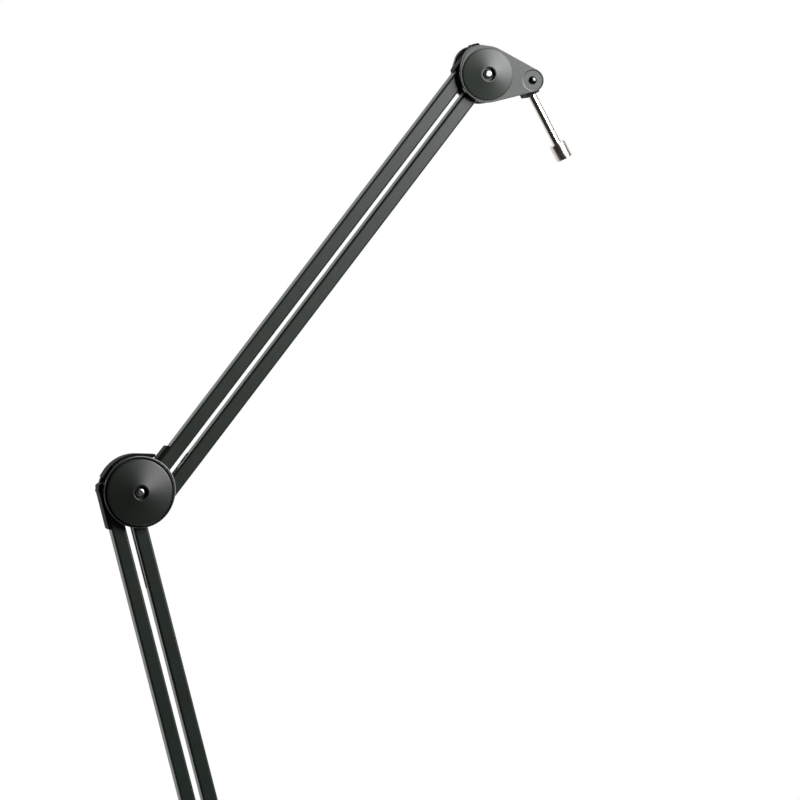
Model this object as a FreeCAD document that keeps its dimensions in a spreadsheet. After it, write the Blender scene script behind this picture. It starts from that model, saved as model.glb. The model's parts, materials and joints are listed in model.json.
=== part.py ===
import FreeCAD, Part
import math
import os
from types import SimpleNamespace

import Sketcher
from FreeCAD import Placement, Rotation, Vector

# Spring-balanced microphone boom arm, in millimetres and degrees. +X is the side the arm reaches to,
# +Z is up and -Y is the front. The origin is on the spigot's axis, on the underside of the desk flange.
# Each section is two parallel box channels, so that the elbow and the head keep their tilt.

SIZES = {
    # the two sections: pivot to pivot, and the lean of each from upright
    "arm_length": 390.0,
    "lower_lean_angle": 14.57,
    "upper_lean_angle": 38.24,
    # the two pivots of a section: their spacing and the slope of the line through them
    "pin_spacing": 17.6,
    "lower_pin_angle": 14.05,
    "upper_pin_angle": 72.5,
    # the outer pivots of both sections, from the middle of the elbow
    "lower_pin_left": 20.85,
    "lower_pin_up": 2.3,
    "upper_pin_right": 9.55,
    "upper_pin_up": 5.7,
    # box channel
    "channel_height": 10.4,
    "channel_depth": 11.6,
    "channel_wall": 1.7,
    "channel_edge": 1.6,
    # pivot pins, bushes and wire drums
    "pin_radius": 1.75,
    "pin_seat": 1.8,
    "bush_wall": 1.1,
    "drum_wall": 0.4,
    "turn_clearance": 0.05,
    "side_clearance": 0.4,
    "ring_radius": 4.4,
    "seat_clearance": 0.1,
    # plates of the elbow, the base and the head
    "knuckle_gap": 16.8,
    "plate_thickness": 4.0,
    "plate_edge": 1.2,
    "elbow_radius": 25.4,
    "knuckle_radius": 20.8,
    "rivet_radius": 1.5,
    # conical covers and their screws
    "elbow_cover_radius": 24.0,
    "knuckle_cover_radius": 18.7,
    "cover_rim": 1.6,
    "elbow_cover_crown": 5.4,
    "knuckle_cover_crown": 4.4,
    "cover_wall": 1.5,
    "cover_edge": 0.7,
    "eye_radius": 5.2,
    "eye_lip": 1.0,
    "eye_floor": 2.0,
    "boss_wall": 1.8,
    "screw_radius": 1.75,
    "screw_head_radius": 4.0,
    "screw_head_height": 2.2,
    "screw_bite": 2.0,
    "socket_radius": 1.8,
    "socket_depth": 1.4,
    # curved guard of the elbow
    "guard_radius": 26.9,
    "guard_thickness": 1.7,
    "guard_width": 12.0,
    "guard_start_angle": 88.0,
    "guard_end_angle": 147.0,
    "guard_right_lip": 12.0,
    "guard_left_lip": 4.5,
    "guard_heel_radius": 25.6,
    "guard_heel_angle": 67.0,
    "lug_start_angle": 104.0,
    "lug_end_angle": 136.0,
    "lug_depth": 9.0,
    "lug_rivet_inset": 5.0,
    "lug_rivet_angle": 9.0,
    # end caps on the outer channels, flush covers on the inner ones
    "lower_cap_length": 28.3,
    "elbow_cap_length": 29.1,
    "head_cap_length": 22.0,
    "cap_proud": 2.0,
    "cap_overhang": 0.7,
    "lower_cap_wrap_angle": 58.0,
    "elbow_cap_wrap_angle": 40.0,
    "head_cap_wrap_angle": 62.0,
    "cap_plug_depth": 2.6,
    "cap_plug_start": 4.0,
    "cap_edge": 1.4,
    "strip_thickness": 0.8,
    "lower_strip_length": 67.0,
    "upper_strip_length": 44.0,
    "strip_start": 5.0,
    # balance springs, with their anchors, yokes and pull wires
    "spring_coils": 16,
    "spring_radius": 2.5,
    "spring_wire": 0.45,
    "spring_pitch": 3.2,
    "spring_start": 92.0,
    "spring_sink": 0.4,
    "plug_radius": 1.9,
    "plug_length": 7.0,
    "yoke_length": 6.0,
    "yoke_width": 6.4,
    "pull_wire": 0.35,
    "wire_clearance": 0.15,
    "anchor_radius": 1.4,
    # teardrop head and swivelling rod
    "head_pin_offset": 1.75,
    "head_angle": 6.6,
    "head_reach": 34.2,
    "head_tip_radius": 8.3,
    "spacer_along": 14.0,
    "spacer_up": 5.0,
    "spacer_radius": 3.2,
    "bolt_radius": 2.5,
    "washer_radius": 7.0,
    "washer_height": 1.3,
    "washer_eye_radius": 3.4,
    "nut_eye_radius": 4.4,
    "washer_floor": 0.5,
    "bolt_head_radius": 3.1,
    "bolt_head_height": 1.4,
    "nut_radius": 4.1,
    "block_width": 11.8,
    "block_length": 9.8,
    "block_offset": 2.0,
    "block_cut_start": 5.0,
    "block_cut_end": 1.8,
    "rod_angle": 28.6,
    "rod_radius": 2.85,
    "rod_length": 40.2,
    "rod_seat": 5.5,
    "rod_tenon": 3.5,
    "sleeve_radius": 5.7,
    "sleeve_length": 12.0,
    "sleeve_chamfer": 0.4,
    "mic_hole_radius": 3.97,
    "mic_hole_depth": 7.5,
    # base knuckle, spigot, bush and desk flange
    "base_tip_radius": 10.5,
    "saddle_top": 10.5,
    "saddle_bottom": 36.0,
    "saddle_width": 20.0,
    "saddle_rivet_drop": 24.0,
    "saddle_rivet_spread": 11.0,
    "collar_radius": 10.0,
    "collar_height": 4.0,
    "spigot_radius": 6.35,
    "spigot_length": 34.0,
    "spigot_chamfer": 1.0,
    "bush_thickness": 1.6,
    "bush_flange_radius": 10.5,
    "bush_flange_height": 1.5,
    "thrust_clearance": 0.1,
    "flange_radius": 42.0,
    "flange_thickness": 6.0,
    "flange_edge": 1.5,
    "boss_radius": 14.0,
    "boss_foot_radius": 19.0,
    "boss_height": 40.0,
    "desk_hole_radius": 2.75,
    "desk_hole_circle": 32.0,
    "desk_hole_count": 3,
    # how far cuts run past the material
    "overrun": 2.0,
}

doc = FreeCAD.newDocument("boom_arm")
sheet = doc.addObject("Spreadsheet::Sheet", "Sizes")
for row, (name, number) in enumerate(SIZES.items(), start=1):
    sheet.set(f"A{row}", name)
    sheet.set(f"B{row}", str(number))
    sheet.setAlias(f"B{row}", name)
doc.recompute()


class Size:
    """A number of the sheet, or a sum of such numbers, with the formula that gives it."""

    def __init__(self, value, formula):
        self.value = value
        self.formula = formula

    def __add__(self, other):
        return combine(self, "+", other)

    def __sub__(self, other):
        return combine(self, "-", other)

    def __mul__(self, other):
        return combine(self, "*", other)

    def __truediv__(self, other):
        return combine(self, "/", other)

    def __neg__(self):
        return combine(ZERO, "-", self)

    def __float__(self):
        return float(self.value)


def as_size(number):
    return number if isinstance(number, Size) else Size(number, repr(number))


def combine(left, sign, right):
    left, right = as_size(left), as_size(right)
    results = {
        "+": left.value + right.value,
        "-": left.value - right.value,
        "*": left.value * right.value,
        "/": left.value / right.value if right.value else 0,
    }
    return Size(results[sign], f"({left.formula} {sign} {right.formula})")


def cosine(angle):
    return Size(math.cos(math.radians(float(angle))), f"cos({as_size(angle).formula})")


def sine(angle):
    return Size(math.sin(math.radians(float(angle))), f"sin({as_size(angle).formula})")


ZERO = Size(0.0, "0")
d = SimpleNamespace(**{name: Size(number, f"Sizes.{name}") for name, number in SIZES.items()})
nodes = {}


def bind(thing, **properties):
    """Ties properties of an object to the sheet."""
    for name, size in properties.items():
        thing.setExpression(name, as_size(size).formula)
    return thing


def node(thing, label, place=None):
    """Names an object as a sub-part of the arm and sets it in its place."""
    thing.Label = label
    if place is not None:
        thing.Placement = place
    nodes[label] = thing
    return thing


def new_body(name):
    return doc.addObject("PartDesign::Body", name)


def new_sketch(body, role):
    plane = next(feature for feature in body.Origin.OriginFeatures if feature.Role == role)
    sketch = body.newObject("Sketcher::SketchObject", f"{body.Name}_outline")
    sketch.AttachmentSupport = [(plane, "")]
    sketch.MapMode = "FlatFace"
    return sketch


def constrain(sketch, kind, size, *where):
    index = sketch.addConstraint(Sketcher.Constraint(kind, *where, float(size)))
    sketch.setExpression(f"Constraints[{index}]", as_size(size).formula)


def hold(sketch, item, point, across, up):
    """Fixes one point of a sketch item at two sizes from the sketch's origin."""
    constrain(sketch, "DistanceX", across, -1, 1, item, point)
    constrain(sketch, "DistanceY", up, -1, 1, item, point)


def polygon(sketch, corners):
    """A closed outline of straight runs through corners given as pairs of sizes."""
    points = [Vector(float(across), float(up), 0) for across, up in corners]
    first = sketch.GeometryCount
    count = len(points)
    for index in range(count):
        sketch.addGeometry(Part.LineSegment(points[index], points[(index + 1) % count]), False)
    for index in range(count):
        follower = first + (index + 1) % count
        sketch.addConstraint(Sketcher.Constraint("Coincident", first + index, 2, follower, 1))
    for index, (across, up) in enumerate(corners):
        hold(sketch, first + index, 1, across, up)
    return sketch


def circle(sketch, across, up, radius):
    centre = Vector(float(across), float(up), 0)
    item = sketch.addGeometry(Part.Circle(centre, Vector(0, 0, 1), float(radius)), False)
    constrain(sketch, "Radius", radius, item)
    hold(sketch, item, 3, across, up)
    return sketch


def arc(centre, radius, start, end):
    whole = Part.Circle(centre, Vector(0, 0, 1), radius)
    return Part.ArcOfCircle(whole, math.radians(start), math.radians(end))


def teardrop(sketch, radius, tip_radius, reach):
    """Two round ends, the second one at `reach` along the sketch's x, joined by their outer tangents."""
    big, small, far = float(radius), float(tip_radius), float(reach)
    lean = math.degrees(math.acos((big - small) / far))
    tip = Vector(far, 0, 0)

    def rim(centre, size, angle):
        turn = math.radians(angle)
        return centre + Vector(math.cos(turn), math.sin(turn), 0) * size

    items = [
        sketch.addGeometry(arc(Vector(), big, lean, 2 * 180 - lean), False),
        sketch.addGeometry(Part.LineSegment(rim(Vector(), big, -lean), rim(tip, small, -lean)), False),
        sketch.addGeometry(arc(tip, small, -lean, lean), False),
        sketch.addGeometry(Part.LineSegment(rim(tip, small, lean), rim(Vector(), big, lean)), False),
    ]
    ends = [(2, 1), (2, 1), (2, 1), (2, 1)]
    for index, (leaving, arriving) in enumerate(ends):
        follower = items[(index + 1) % len(items)]
        sketch.addConstraint(Sketcher.Constraint("Tangent", items[index], leaving, follower, arriving))
    constrain(sketch, "Radius", radius, items[0])
    constrain(sketch, "Radius", tip_radius, items[2])
    hold(sketch, items[0], 3, ZERO, ZERO)
    hold(sketch, items[2], 3, reach, ZERO)
    return sketch


def sector(sketch, inner, outer, start, end):
    """A piece of a ring between two radii and two angles."""
    low, high = float(inner), float(outer)
    first, last = float(start), float(end)
    outer_arc = sketch.addGeometry(arc(Vector(), high, first, last), False)
    inner_arc = sketch.addGeometry(arc(Vector(), low, first, last), False)
    corners = [(outer_arc, 1, outer, start), (outer_arc, 2, outer, end),
               (inner_arc, 1, inner, start), (inner_arc, 2, inner, end)]
    points = []
    for item, end_point, radius, angle in corners:
        points.append(sketch.getPoint(item, end_point))
    side_two = sketch.addGeometry(Part.LineSegment(points[1], points[3]), False)
    side_one = sketch.addGeometry(Part.LineSegment(points[2], points[0]), False)
    joints = [(outer_arc, 2, side_two, 1), (side_two, 2, inner_arc, 2),
              (inner_arc, 1, side_one, 1), (side_one, 2, outer_arc, 1)]
    for joint in joints:
        sketch.addConstraint(Sketcher.Constraint("Coincident", *joint))
    for item in (outer_arc, inner_arc):
        sketch.addConstraint(Sketcher.Constraint("Coincident", item, 3, -1, 1))
    hold(sketch, outer_arc, 1, outer * cosine(start), outer * sine(start))
    hold(sketch, inner_arc, 2, inner * cosine(end), inner * sine(end))
    constrain(sketch, "DistanceX", outer * cosine(end), -1, 1, outer_arc, 2)
    constrain(sketch, "DistanceX", inner * cosine(start), -1, 1, inner_arc, 1)
    return sketch


def extrude(body, kind, sketch, length, both_sides=False, backwards=False):
    feature = body.newObject(f"PartDesign::{kind}", f"{body.Name}_{kind.lower()}")
    feature.Profile = sketch
    feature.SideType = "Symmetric" if both_sides else "One side"
    feature.Reversed = backwards
    before = body.Shape.Volume if kind == "Pocket" else 0
    bind(feature, Length=length)
    doc.recompute()
    if kind == "Pocket" and not body.Shape.Volume < before:
        raise ValueError(f"{feature.Name} cuts nothing")
    return feature


def pad(body, sketch, length, **options):
    return extrude(body, "Pad", sketch, length, **options)


def pocket(body, sketch, length, **options):
    return extrude(body, "Pocket", sketch, length, **options)


def revolve(body, sketch):
    """Turns an outline drawn on the XZ plane round the body's Z axis."""
    feature = body.newObject("PartDesign::Revolution", f"{body.Name}_turned")
    feature.Profile = sketch
    feature.ReferenceAxis = (sketch, ["V_Axis"])
    doc.recompute()
    return feature


def turned(name, corners):
    body = new_body(name)
    revolve(body, polygon(new_sketch(body, "XZ_Plane"), corners))
    return body


LEVEL_SHARE = 0.01


def round_edges(body, radius, chosen):
    """Fillets the edges whose middle and box the function `chosen` accepts."""
    feature = body.newObject("PartDesign::Fillet", f"{body.Name}_rounding")
    base = body.Tip if body.Tip is not feature else feature.BaseFeature
    names = [f"Edge{index}" for index, edge in enumerate(base.Shape.Edges, start=1) if chosen(edge.BoundBox)]
    feature.Base = (base, names)
    bind(feature, Radius=radius)
    doc.recompute()
    return feature


def cylinder(radius, height, place=None):
    """A round bar along its own Z, with its middle at the origin before it is placed."""
    bar = doc.addObject("Part::Cylinder", "bar")
    bind(bar, Radius=radius, Height=height)
    centred = Placement(Vector(0, 0, -float(height) / 2), Rotation())
    bar.Placement = place.multiply(centred) if place else centred
    return bar


def box(length, width, height, corner, place=None):
    block = doc.addObject("Part::Box", "block")
    bind(block, Length=length, Width=width, Height=height)
    local = Placement(Vector(*[float(size) for size in corner]), Rotation())
    block.Placement = place.multiply(local) if place else local
    return block


def group(things, name):
    compound = doc.addObject("Part::Compound", name)
    compound.Links = things
    return compound


def fuse(things, name):
    whole = doc.addObject("Part::MultiFuse", name)
    whole.Shapes = things
    return whole


def cut(base, tool, name):
    rest = doc.addObject("Part::Cut", name)
    rest.Base = base
    rest.Tool = tool
    return rest


# Frames: an arm's own X runs along it and its own Z points out of the channel's mouth; a knuckle's own
# X and Y lie in the plane of the arm and its own Z points to the front.
ACROSS = Rotation(Vector(1, 0, 0), 90)
INTO_DEPTH = Placement(Vector(), Rotation(Vector(1, 0, 0), 90))
QUARTER = 90


def in_plane(across, up):
    return Vector(float(across), 0, float(up))


def along_slope(distance, slope):
    """A step along a line that falls to the right by `slope` degrees."""
    return in_plane(distance * cosine(slope), -(distance * sine(slope)))


def arm_frame(pivot, lean):
    """The frame of a channel whose lower pivot is given; lean counts to the right of upright."""
    return Placement(pivot, Rotation(Vector(0, 1, 0), float(lean) - QUARTER))


def knuckle_frame(centre, slope=0):
    return Placement(centre, Rotation(Vector(0, 1, 0), float(slope)).multiply(ACROSS))


def at(frame, x=0, y=0, z=0, turn=None):
    return frame.multiply(Placement(Vector(float(x), float(y), float(z)), turn or Rotation()))


# Heights of the base, from the underside of the flange up.
bush_top = d.boss_height + d.bush_flange_height
collar_foot = bush_top + d.thrust_clearance
base_height = collar_foot + d.collar_height + d.saddle_bottom
base_centre = in_plane(ZERO, base_height)

# Pivots: the base carries the lower ends of the lower channels on either side of its middle.
half_step = along_slope(d.pin_spacing / 2, d.lower_pin_angle)
base_outer = base_centre - half_step
base_inner = base_centre + half_step
lower_frame = arm_frame(base_outer, -d.lower_lean_angle)
lower_inner_frame = arm_frame(base_inner, -d.lower_lean_angle)
lower_reach = lower_frame.Rotation.multVec(Vector(float(d.arm_length), 0, 0))
elbow_centre = base_outer + lower_reach - in_plane(-d.lower_pin_left, d.lower_pin_up)
elbow_lower_outer = base_outer + lower_reach
elbow_lower_inner = base_inner + lower_reach
elbow_upper_outer = elbow_centre + in_plane(d.upper_pin_right, d.upper_pin_up)
elbow_upper_inner = elbow_upper_outer + along_slope(d.pin_spacing, d.upper_pin_angle)
upper_frame = arm_frame(elbow_upper_outer, d.upper_lean_angle)
upper_inner_frame = arm_frame(elbow_upper_inner, d.upper_lean_angle)
upper_reach = upper_frame.Rotation.multVec(Vector(float(d.arm_length), 0, 0))
head_outer = elbow_upper_outer + upper_reach
head_inner = elbow_upper_inner + upper_reach
head_centre = head_inner + upper_frame.Rotation.multVec(Vector(0, 0, float(d.head_pin_offset)))

# Depths, from the middle of the arm towards the front.
plate_inside = d.knuckle_gap / 2
plate_outside = plate_inside + d.plate_thickness
between_walls = d.channel_depth - d.channel_wall * 2
pin_length = (plate_inside + d.pin_seat) * 2
pin_hole = d.pin_radius + d.turn_clearance
ring_length = plate_inside - d.channel_depth / 2 - d.seat_clearance


def in_knuckle(centre, pivot):
    """A pivot's place in the plane of a knuckle, as sizes across and up."""
    return pivot.x - centre.x, pivot.z - centre.z


def channel(label, frame, lid_start, lid_end):
    """A box channel with rounded ends and pin holes, whose fourth side stops short of them for assembly."""
    body = new_body(label)
    half = d.channel_height / 2
    pad(body, teardrop(new_sketch(body, "XZ_Plane"), half, half, d.arm_length), d.channel_depth,
        both_sides=True)
    flank = float(d.channel_depth / 2)
    close = LEVEL_SHARE * flank
    round_edges(body, d.channel_edge, lambda edge: abs(edge.Center.y) > flank - close)
    floor = -(half - d.channel_wall)
    side = between_walls / 2
    mouth = half + d.overrun
    hollow = polygon(new_sketch(body, "YZ_Plane"), [(-side, floor), (side, floor), (side, mouth), (-side, mouth)])
    pocket(body, hollow, (d.arm_length + d.channel_height + d.overrun) * 2, both_sides=True)
    sill = half - d.channel_wall
    lid = polygon(new_sketch(body, "XZ_Plane"), [(lid_start, sill), (lid_end, sill), (lid_end, half), (lid_start, half)])
    pad(body, lid, between_walls, both_sides=True)
    holes = new_sketch(body, "XZ_Plane")
    circle(holes, ZERO, ZERO, pin_hole)
    circle(holes, d.arm_length, ZERO, pin_hole)
    pocket(body, holes, d.channel_depth + d.overrun, both_sides=True)
    return node(body, label, frame)


def tube(outer, bore, length, place, name):
    """A round tube along the depth of the arm."""
    rod = cylinder(outer, length, place.multiply(INTO_DEPTH))
    hole = cylinder(bore, length + d.overrun, place.multiply(INTO_DEPTH))
    return cut(rod, hole, name)


def bushes(label, frame, places):
    """Bushes between the channel's walls, round the pivot pins, and rings that keep both its ends central."""
    outer = d.pin_radius + d.turn_clearance + d.bush_wall
    tubes = [tube(outer, pin_hole, between_walls, at(frame, x=place), f"{label}_tube") for place in places]
    beside = (d.channel_depth + ring_length) / 2
    for place in (ZERO, d.arm_length):
        for depth in (beside, -beside):
            tubes.append(tube(d.ring_radius, pin_hole, ring_length, at(frame, x=place, y=depth), f"{label}_ring"))
    node(group(tubes, label), label)


def drum(label, place):
    """The drum that a pull wire runs to, pressed on its pivot pin."""
    width = between_walls - d.seat_clearance * 2
    node(tube(d.pin_radius + d.drum_wall, d.pin_radius, width, place, label), label)


def end_cap(label, frame, place, far_end, length, wrap_angle):
    """A cap over the mouth of an outer channel, which wraps round the channel's end."""
    body = new_body(label)
    half = d.channel_height / 2
    top = half + d.cap_proud
    outline = new_sketch(body, "XZ_Plane")
    wrap = wrap_angle + QUARTER
    low, high = float(half), float(top)
    outer = outline.addGeometry(arc(Vector(), high, QUARTER, float(wrap)), False)
    inner = outline.addGeometry(arc(Vector(), low, QUARTER, float(wrap)), False)
    runs = [
        (outline.getPoint(inner, 1), Vector(float(length), low, 0)),
        (Vector(float(length), low, 0), Vector(float(length), high, 0)),
        (Vector(float(length), high, 0), outline.getPoint(outer, 1)),
        (outline.getPoint(outer, 2), outline.getPoint(inner, 2)),
    ]
    bottom, front, lid, lip = [outline.addGeometry(Part.LineSegment(*run), False) for run in runs]
    joints = [(inner, 1, bottom, 1), (bottom, 2, front, 1), (front, 2, lid, 1), (lid, 2, outer, 1),
              (outer, 2, lip, 1), (lip, 2, inner, 2), (outer, 3, -1, 1), (inner, 3, -1, 1)]
    for joint in joints:
        outline.addConstraint(Sketcher.Constraint("Coincident", *joint))
    hold(outline, outer, 1, ZERO, top)
    hold(outline, inner, 1, ZERO, half)
    hold(outline, bottom, 2, length, half)
    hold(outline, front, 2, length, top)
    constrain(outline, "DistanceX", top * cosine(wrap), -1, 1, outer, 2)
    constrain(outline, "DistanceX", half * cosine(wrap), -1, 1, inner, 2)
    pad(body, outline, d.channel_depth + d.cap_overhang * 2, both_sides=True)
    start, end = d.cap_plug_start, length - d.cap_edge
    floor = half - d.cap_plug_depth
    plug = polygon(new_sketch(body, "XZ_Plane"), [(start, floor), (end, floor), (end, half), (start, half)])
    pad(body, plug, between_walls - d.seat_clearance * 2, both_sides=True)
    close = LEVEL_SHARE * float(d.cap_proud)

    def far_corner(edge):
        return edge.XMin > float(length) - close and edge.ZMin > high - close

    round_edges(body, d.cap_edge, far_corner)
    facing = Rotation(Vector(0, 0, 1), 2 * QUARTER) if far_end else Rotation()
    return node(body, label, at(frame, x=place, turn=facing))


def mouth_strip(label, frame, start, length):
    """A thin cover let into the mouth of an inner channel, flush with its edges."""
    width = between_walls - d.seat_clearance
    sill = d.channel_height / 2 - d.strip_thickness
    strip = box(length, width, d.strip_thickness, (start, -(width / 2), sill), frame)
    return node(strip, label)


def biarc(start, start_way, end, end_way):
    """Two arcs that join two points with given tangents."""
    chord = end - start
    both = start_way + end_way
    square = 2 * (1 - start_way.dot(end_way))
    linear = 2 * chord.dot(both)
    reach = (-linear + math.sqrt(linear * linear + 4 * square * chord.dot(chord))) / (2 * square)
    first, second = start + start_way * reach, end - end_way * reach
    middle = (first + second) * 0.5
    edges = []
    for tail, corner, tip in ((start, first, middle), (middle, second, end)):
        weight = math.cos((corner - tail).getAngle(tip - tail))
        crest = (tail + corner * (2 * weight) + tip) * (1 / (2 + 2 * weight))
        edges.append(Part.Arc(tail, crest, tip).toShape())
    return edges


def spring(label, frame, start):
    """An extension spring: one wire wound along the arm, with a straight stub at each end."""
    radius, pitch = float(d.spring_radius), float(d.spring_pitch)
    wire, coils = float(d.spring_wire), int(float(d.spring_coils))
    stub = wire * 2
    halves = 2 * coils

    def point(turn):
        angle = 2 * math.pi * turn
        return Vector(float(start) + pitch * turn, radius * math.cos(angle), radius * math.sin(angle))

    def way(turn):
        angle = 2 * math.pi * turn
        step = Vector(pitch / (2 * math.pi), -radius * math.sin(angle), radius * math.cos(angle))
        return step.normalize()

    turns = [index / 2 for index in range(halves + 1)]
    edges = [Part.LineSegment(point(0) - way(0) * stub, point(0)).toShape()]
    for before, after in zip(turns, turns[1:]):
        edges += biarc(point(before), way(before), point(after), way(after))
    edges.append(Part.LineSegment(point(coils), point(coils) + way(coils) * stub).toShape())
    path = Part.Wire(edges)
    ring = Part.Wire(Part.Circle(point(0) - way(0) * stub, way(0), wire).toShape())
    lead = pitch * math.cos(math.atan2(pitch, 2 * math.pi * radius))
    print(f"{label}: least gap between turns {lead - 2 * wire:.2f} mm")
    coil = doc.addObject("Part::Feature", label)
    coil.Shape = path.makePipeShell([ring], True, False)
    return node(coil, label, at(frame, z=-d.spring_sink))


def spring_gear(section, frame):
    """Spring, fixed anchor and yoke with its pull wire, inside an inner channel."""
    length = d.spring_pitch * d.spring_coils
    axis = -d.spring_sink
    end = d.spring_start + length
    spring(f"{section}_spring", frame, d.spring_start)
    along = Rotation(Vector(0, 1, 0), QUARTER)
    grip = d.plug_length - d.seat_clearance
    plug_centre = end + d.spring_pitch - grip / 2 + d.anchor_radius
    post = cylinder(d.anchor_radius, between_walls, at(frame, x=end + d.spring_pitch + d.anchor_radius, z=axis)
                    .multiply(INTO_DEPTH))
    plug = cylinder(d.plug_radius, grip, at(frame, x=plug_centre, z=axis, turn=along))
    node(fuse([post, plug], f"{section}_spring_anchor"), f"{section}_spring_anchor")
    yoke_end = d.spring_start - d.spring_pitch
    wire_height = d.pin_radius + d.drum_wall + d.wire_clearance + d.pull_wire
    yoke_low = d.channel_wall + d.side_clearance - d.channel_height / 2
    yoke_height = wire_height + d.pull_wire * 2 - yoke_low
    yoke = box(d.yoke_length, d.yoke_width, yoke_height,
               (yoke_end - d.yoke_length, -(d.yoke_width / 2), yoke_low), frame)
    peg_centre = yoke_end + d.plug_length / 2 - d.overrun
    peg = cylinder(d.plug_radius, d.plug_length, at(frame, x=peg_centre, z=axis, turn=along))
    wire_length = yoke_end - d.yoke_length + d.overrun
    wire = cylinder(d.pull_wire, wire_length, at(frame, x=wire_length / 2, z=wire_height, turn=along))
    node(fuse([yoke, peg, wire], f"{section}_spring_yoke"), f"{section}_spring_yoke")


def pins(label, pivots):
    bars = [cylinder(d.pin_radius, pin_length, Placement(pivot, ACROSS)) for pivot in pivots]
    node(group(bars, label), label)


def rivets(label, centre, places):
    frame = knuckle_frame(centre)
    bars = [cylinder(d.rivet_radius, plate_outside * 2, at(frame, x=across, y=up)) for across, up in places]
    node(group(bars, label), label)


def plate(label, frame, outline, pivots, rivet_places, front, more_holes=()):
    """A knuckle's side plate with a rounded outer edge, blind pin seats and rivet and screw holes."""
    body = new_body(label)
    pad(body, outline(new_sketch(body, "XY_Plane")), d.plate_thickness, backwards=not front)
    face = float(d.plate_thickness) if front else -float(d.plate_thickness)
    close = LEVEL_SHARE * float(d.plate_thickness)
    round_edges(body, d.plate_edge, lambda edge: abs(edge.ZMin - face) < close and abs(edge.ZMax - face) < close)
    seats = new_sketch(body, "XY_Plane")
    for across, up in pivots:
        circle(seats, across, up, pin_hole)
    pocket(body, seats, d.pin_seat + d.seat_clearance, backwards=front)
    holes = new_sketch(body, "XY_Plane")
    circle(holes, ZERO, ZERO, d.screw_radius + d.turn_clearance)
    for across, up in rivet_places:
        circle(holes, across, up, d.rivet_radius + d.turn_clearance)
    for across, up, radius in more_holes:
        circle(holes, across, up, radius)
    pocket(body, holes, d.plate_thickness + d.overrun, backwards=front)
    depth = plate_inside if front else -plate_inside
    return node(body, label, at(frame, z=depth))


def facing(frame, front, depth):
    """The place of a turned piece that looks out of a knuckle's front or back at a depth."""
    turn = Rotation() if front else Rotation(Vector(1, 0, 0), 2 * QUARTER)
    return at(frame, z=depth if front else -depth, turn=turn)


def cover(label, frame, radius, crown, front):
    """A shallow conical cover, hollow behind, with a sunk eye for its screw."""
    lip = d.eye_radius + d.eye_lip
    boss = d.eye_radius + d.boss_wall
    inner = radius - d.cover_wall
    fall = (crown - d.cover_rim) / (radius - lip)
    ceiling_out = d.cover_rim - d.cover_wall + fall * d.cover_wall
    ceiling_in = crown - d.cover_wall - fall * (boss - lip)
    hole = d.screw_radius + d.turn_clearance
    corners = [
        (radius, ZERO), (radius, d.cover_rim), (lip, crown), (d.eye_radius, crown),
        (d.eye_radius, d.eye_floor), (hole, d.eye_floor), (hole, ZERO), (boss, ZERO), (boss, ceiling_in),
        (inner, ceiling_out), (inner, ZERO),
    ]
    body = turned(label, corners)
    close = LEVEL_SHARE * float(d.cover_rim)

    def rim(edge):
        return abs(edge.ZMin - float(d.cover_rim)) < close and abs(edge.ZMax - edge.ZMin) < close

    round_edges(body, d.cover_edge, rim)
    return node(body, label, facing(frame, front, plate_outside))


def cover_screws(label, frame):
    """The centre screws of the two covers of a knuckle, button-headed with a six-sided socket."""
    screws = []
    for front in (True, False):
        head = d.screw_head_radius
        rim = d.screw_head_height / 2
        body = turned(f"{label}_{'front' if front else 'back'}", [
            (ZERO, -(d.eye_floor + d.screw_bite)), (d.screw_radius, -(d.eye_floor + d.screw_bite)),
            (d.screw_radius, ZERO), (head, ZERO), (head, rim), (head - rim, d.screw_head_height),
            (ZERO, d.screw_head_height)])
        six_sided_socket(body, d.socket_radius, d.screw_head_height, d.socket_depth)
        body.Placement = facing(frame, front, plate_outside + d.eye_floor)
        screws.append(body)
    node(group(screws, label), label)


def six_sided_socket(body, radius, top, depth):
    corners = []
    for index in range(6):
        turn = Size(index * 360 / 6, str(index * 360 / 6))
        corners.append((radius * cosine(turn), radius * sine(turn)))
    sketch = polygon(new_sketch(body, "XY_Plane"), corners)
    bind(sketch, **{"AttachmentOffset.Base.z": top})
    pocket(body, sketch, depth)


def disc_outline(radius):
    return lambda sketch: circle(sketch, ZERO, ZERO, radius)


def tear_outline(radius, tip_radius, reach):
    return lambda sketch: teardrop(sketch, radius, tip_radius, reach)


# Desk flange and bush.
flange = turned("mount_flange", [
    (d.spigot_radius + d.turn_clearance + d.bush_thickness, ZERO),
    (d.flange_radius, ZERO), (d.flange_radius, d.flange_thickness - d.flange_edge),
    (d.flange_radius - d.flange_edge, d.flange_thickness), (d.boss_foot_radius, d.flange_thickness),
    (d.boss_radius, d.flange_thickness + d.boss_foot_radius - d.boss_radius),
    (d.boss_radius, d.boss_height), (d.spigot_radius + d.turn_clearance + d.bush_thickness, d.boss_height)])
desk_hole = circle(new_sketch(flange, "XY_Plane"), d.desk_hole_circle, ZERO, d.desk_hole_radius)
drilled = pocket(flange, desk_hole, d.flange_thickness + d.overrun, backwards=True)
ring = flange.newObject("PartDesign::PolarPattern", "desk_holes")
ring.Originals = [drilled]
ring.Axis = (desk_hole, ["N_Axis"])
ring.Angle = 360
bind(ring, Occurrences=d.desk_hole_count)
flange.Tip = ring
node(flange, "mount_flange")

bush_bore = d.spigot_radius + d.turn_clearance
bush_outside = bush_bore + d.bush_thickness
node(turned("spigot_bush", [
    (bush_bore, ZERO), (bush_outside, ZERO), (bush_outside, d.boss_height), (d.bush_flange_radius, d.boss_height),
    (d.bush_flange_radius, bush_top), (bush_bore, bush_top)]), "spigot_bush")

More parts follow.
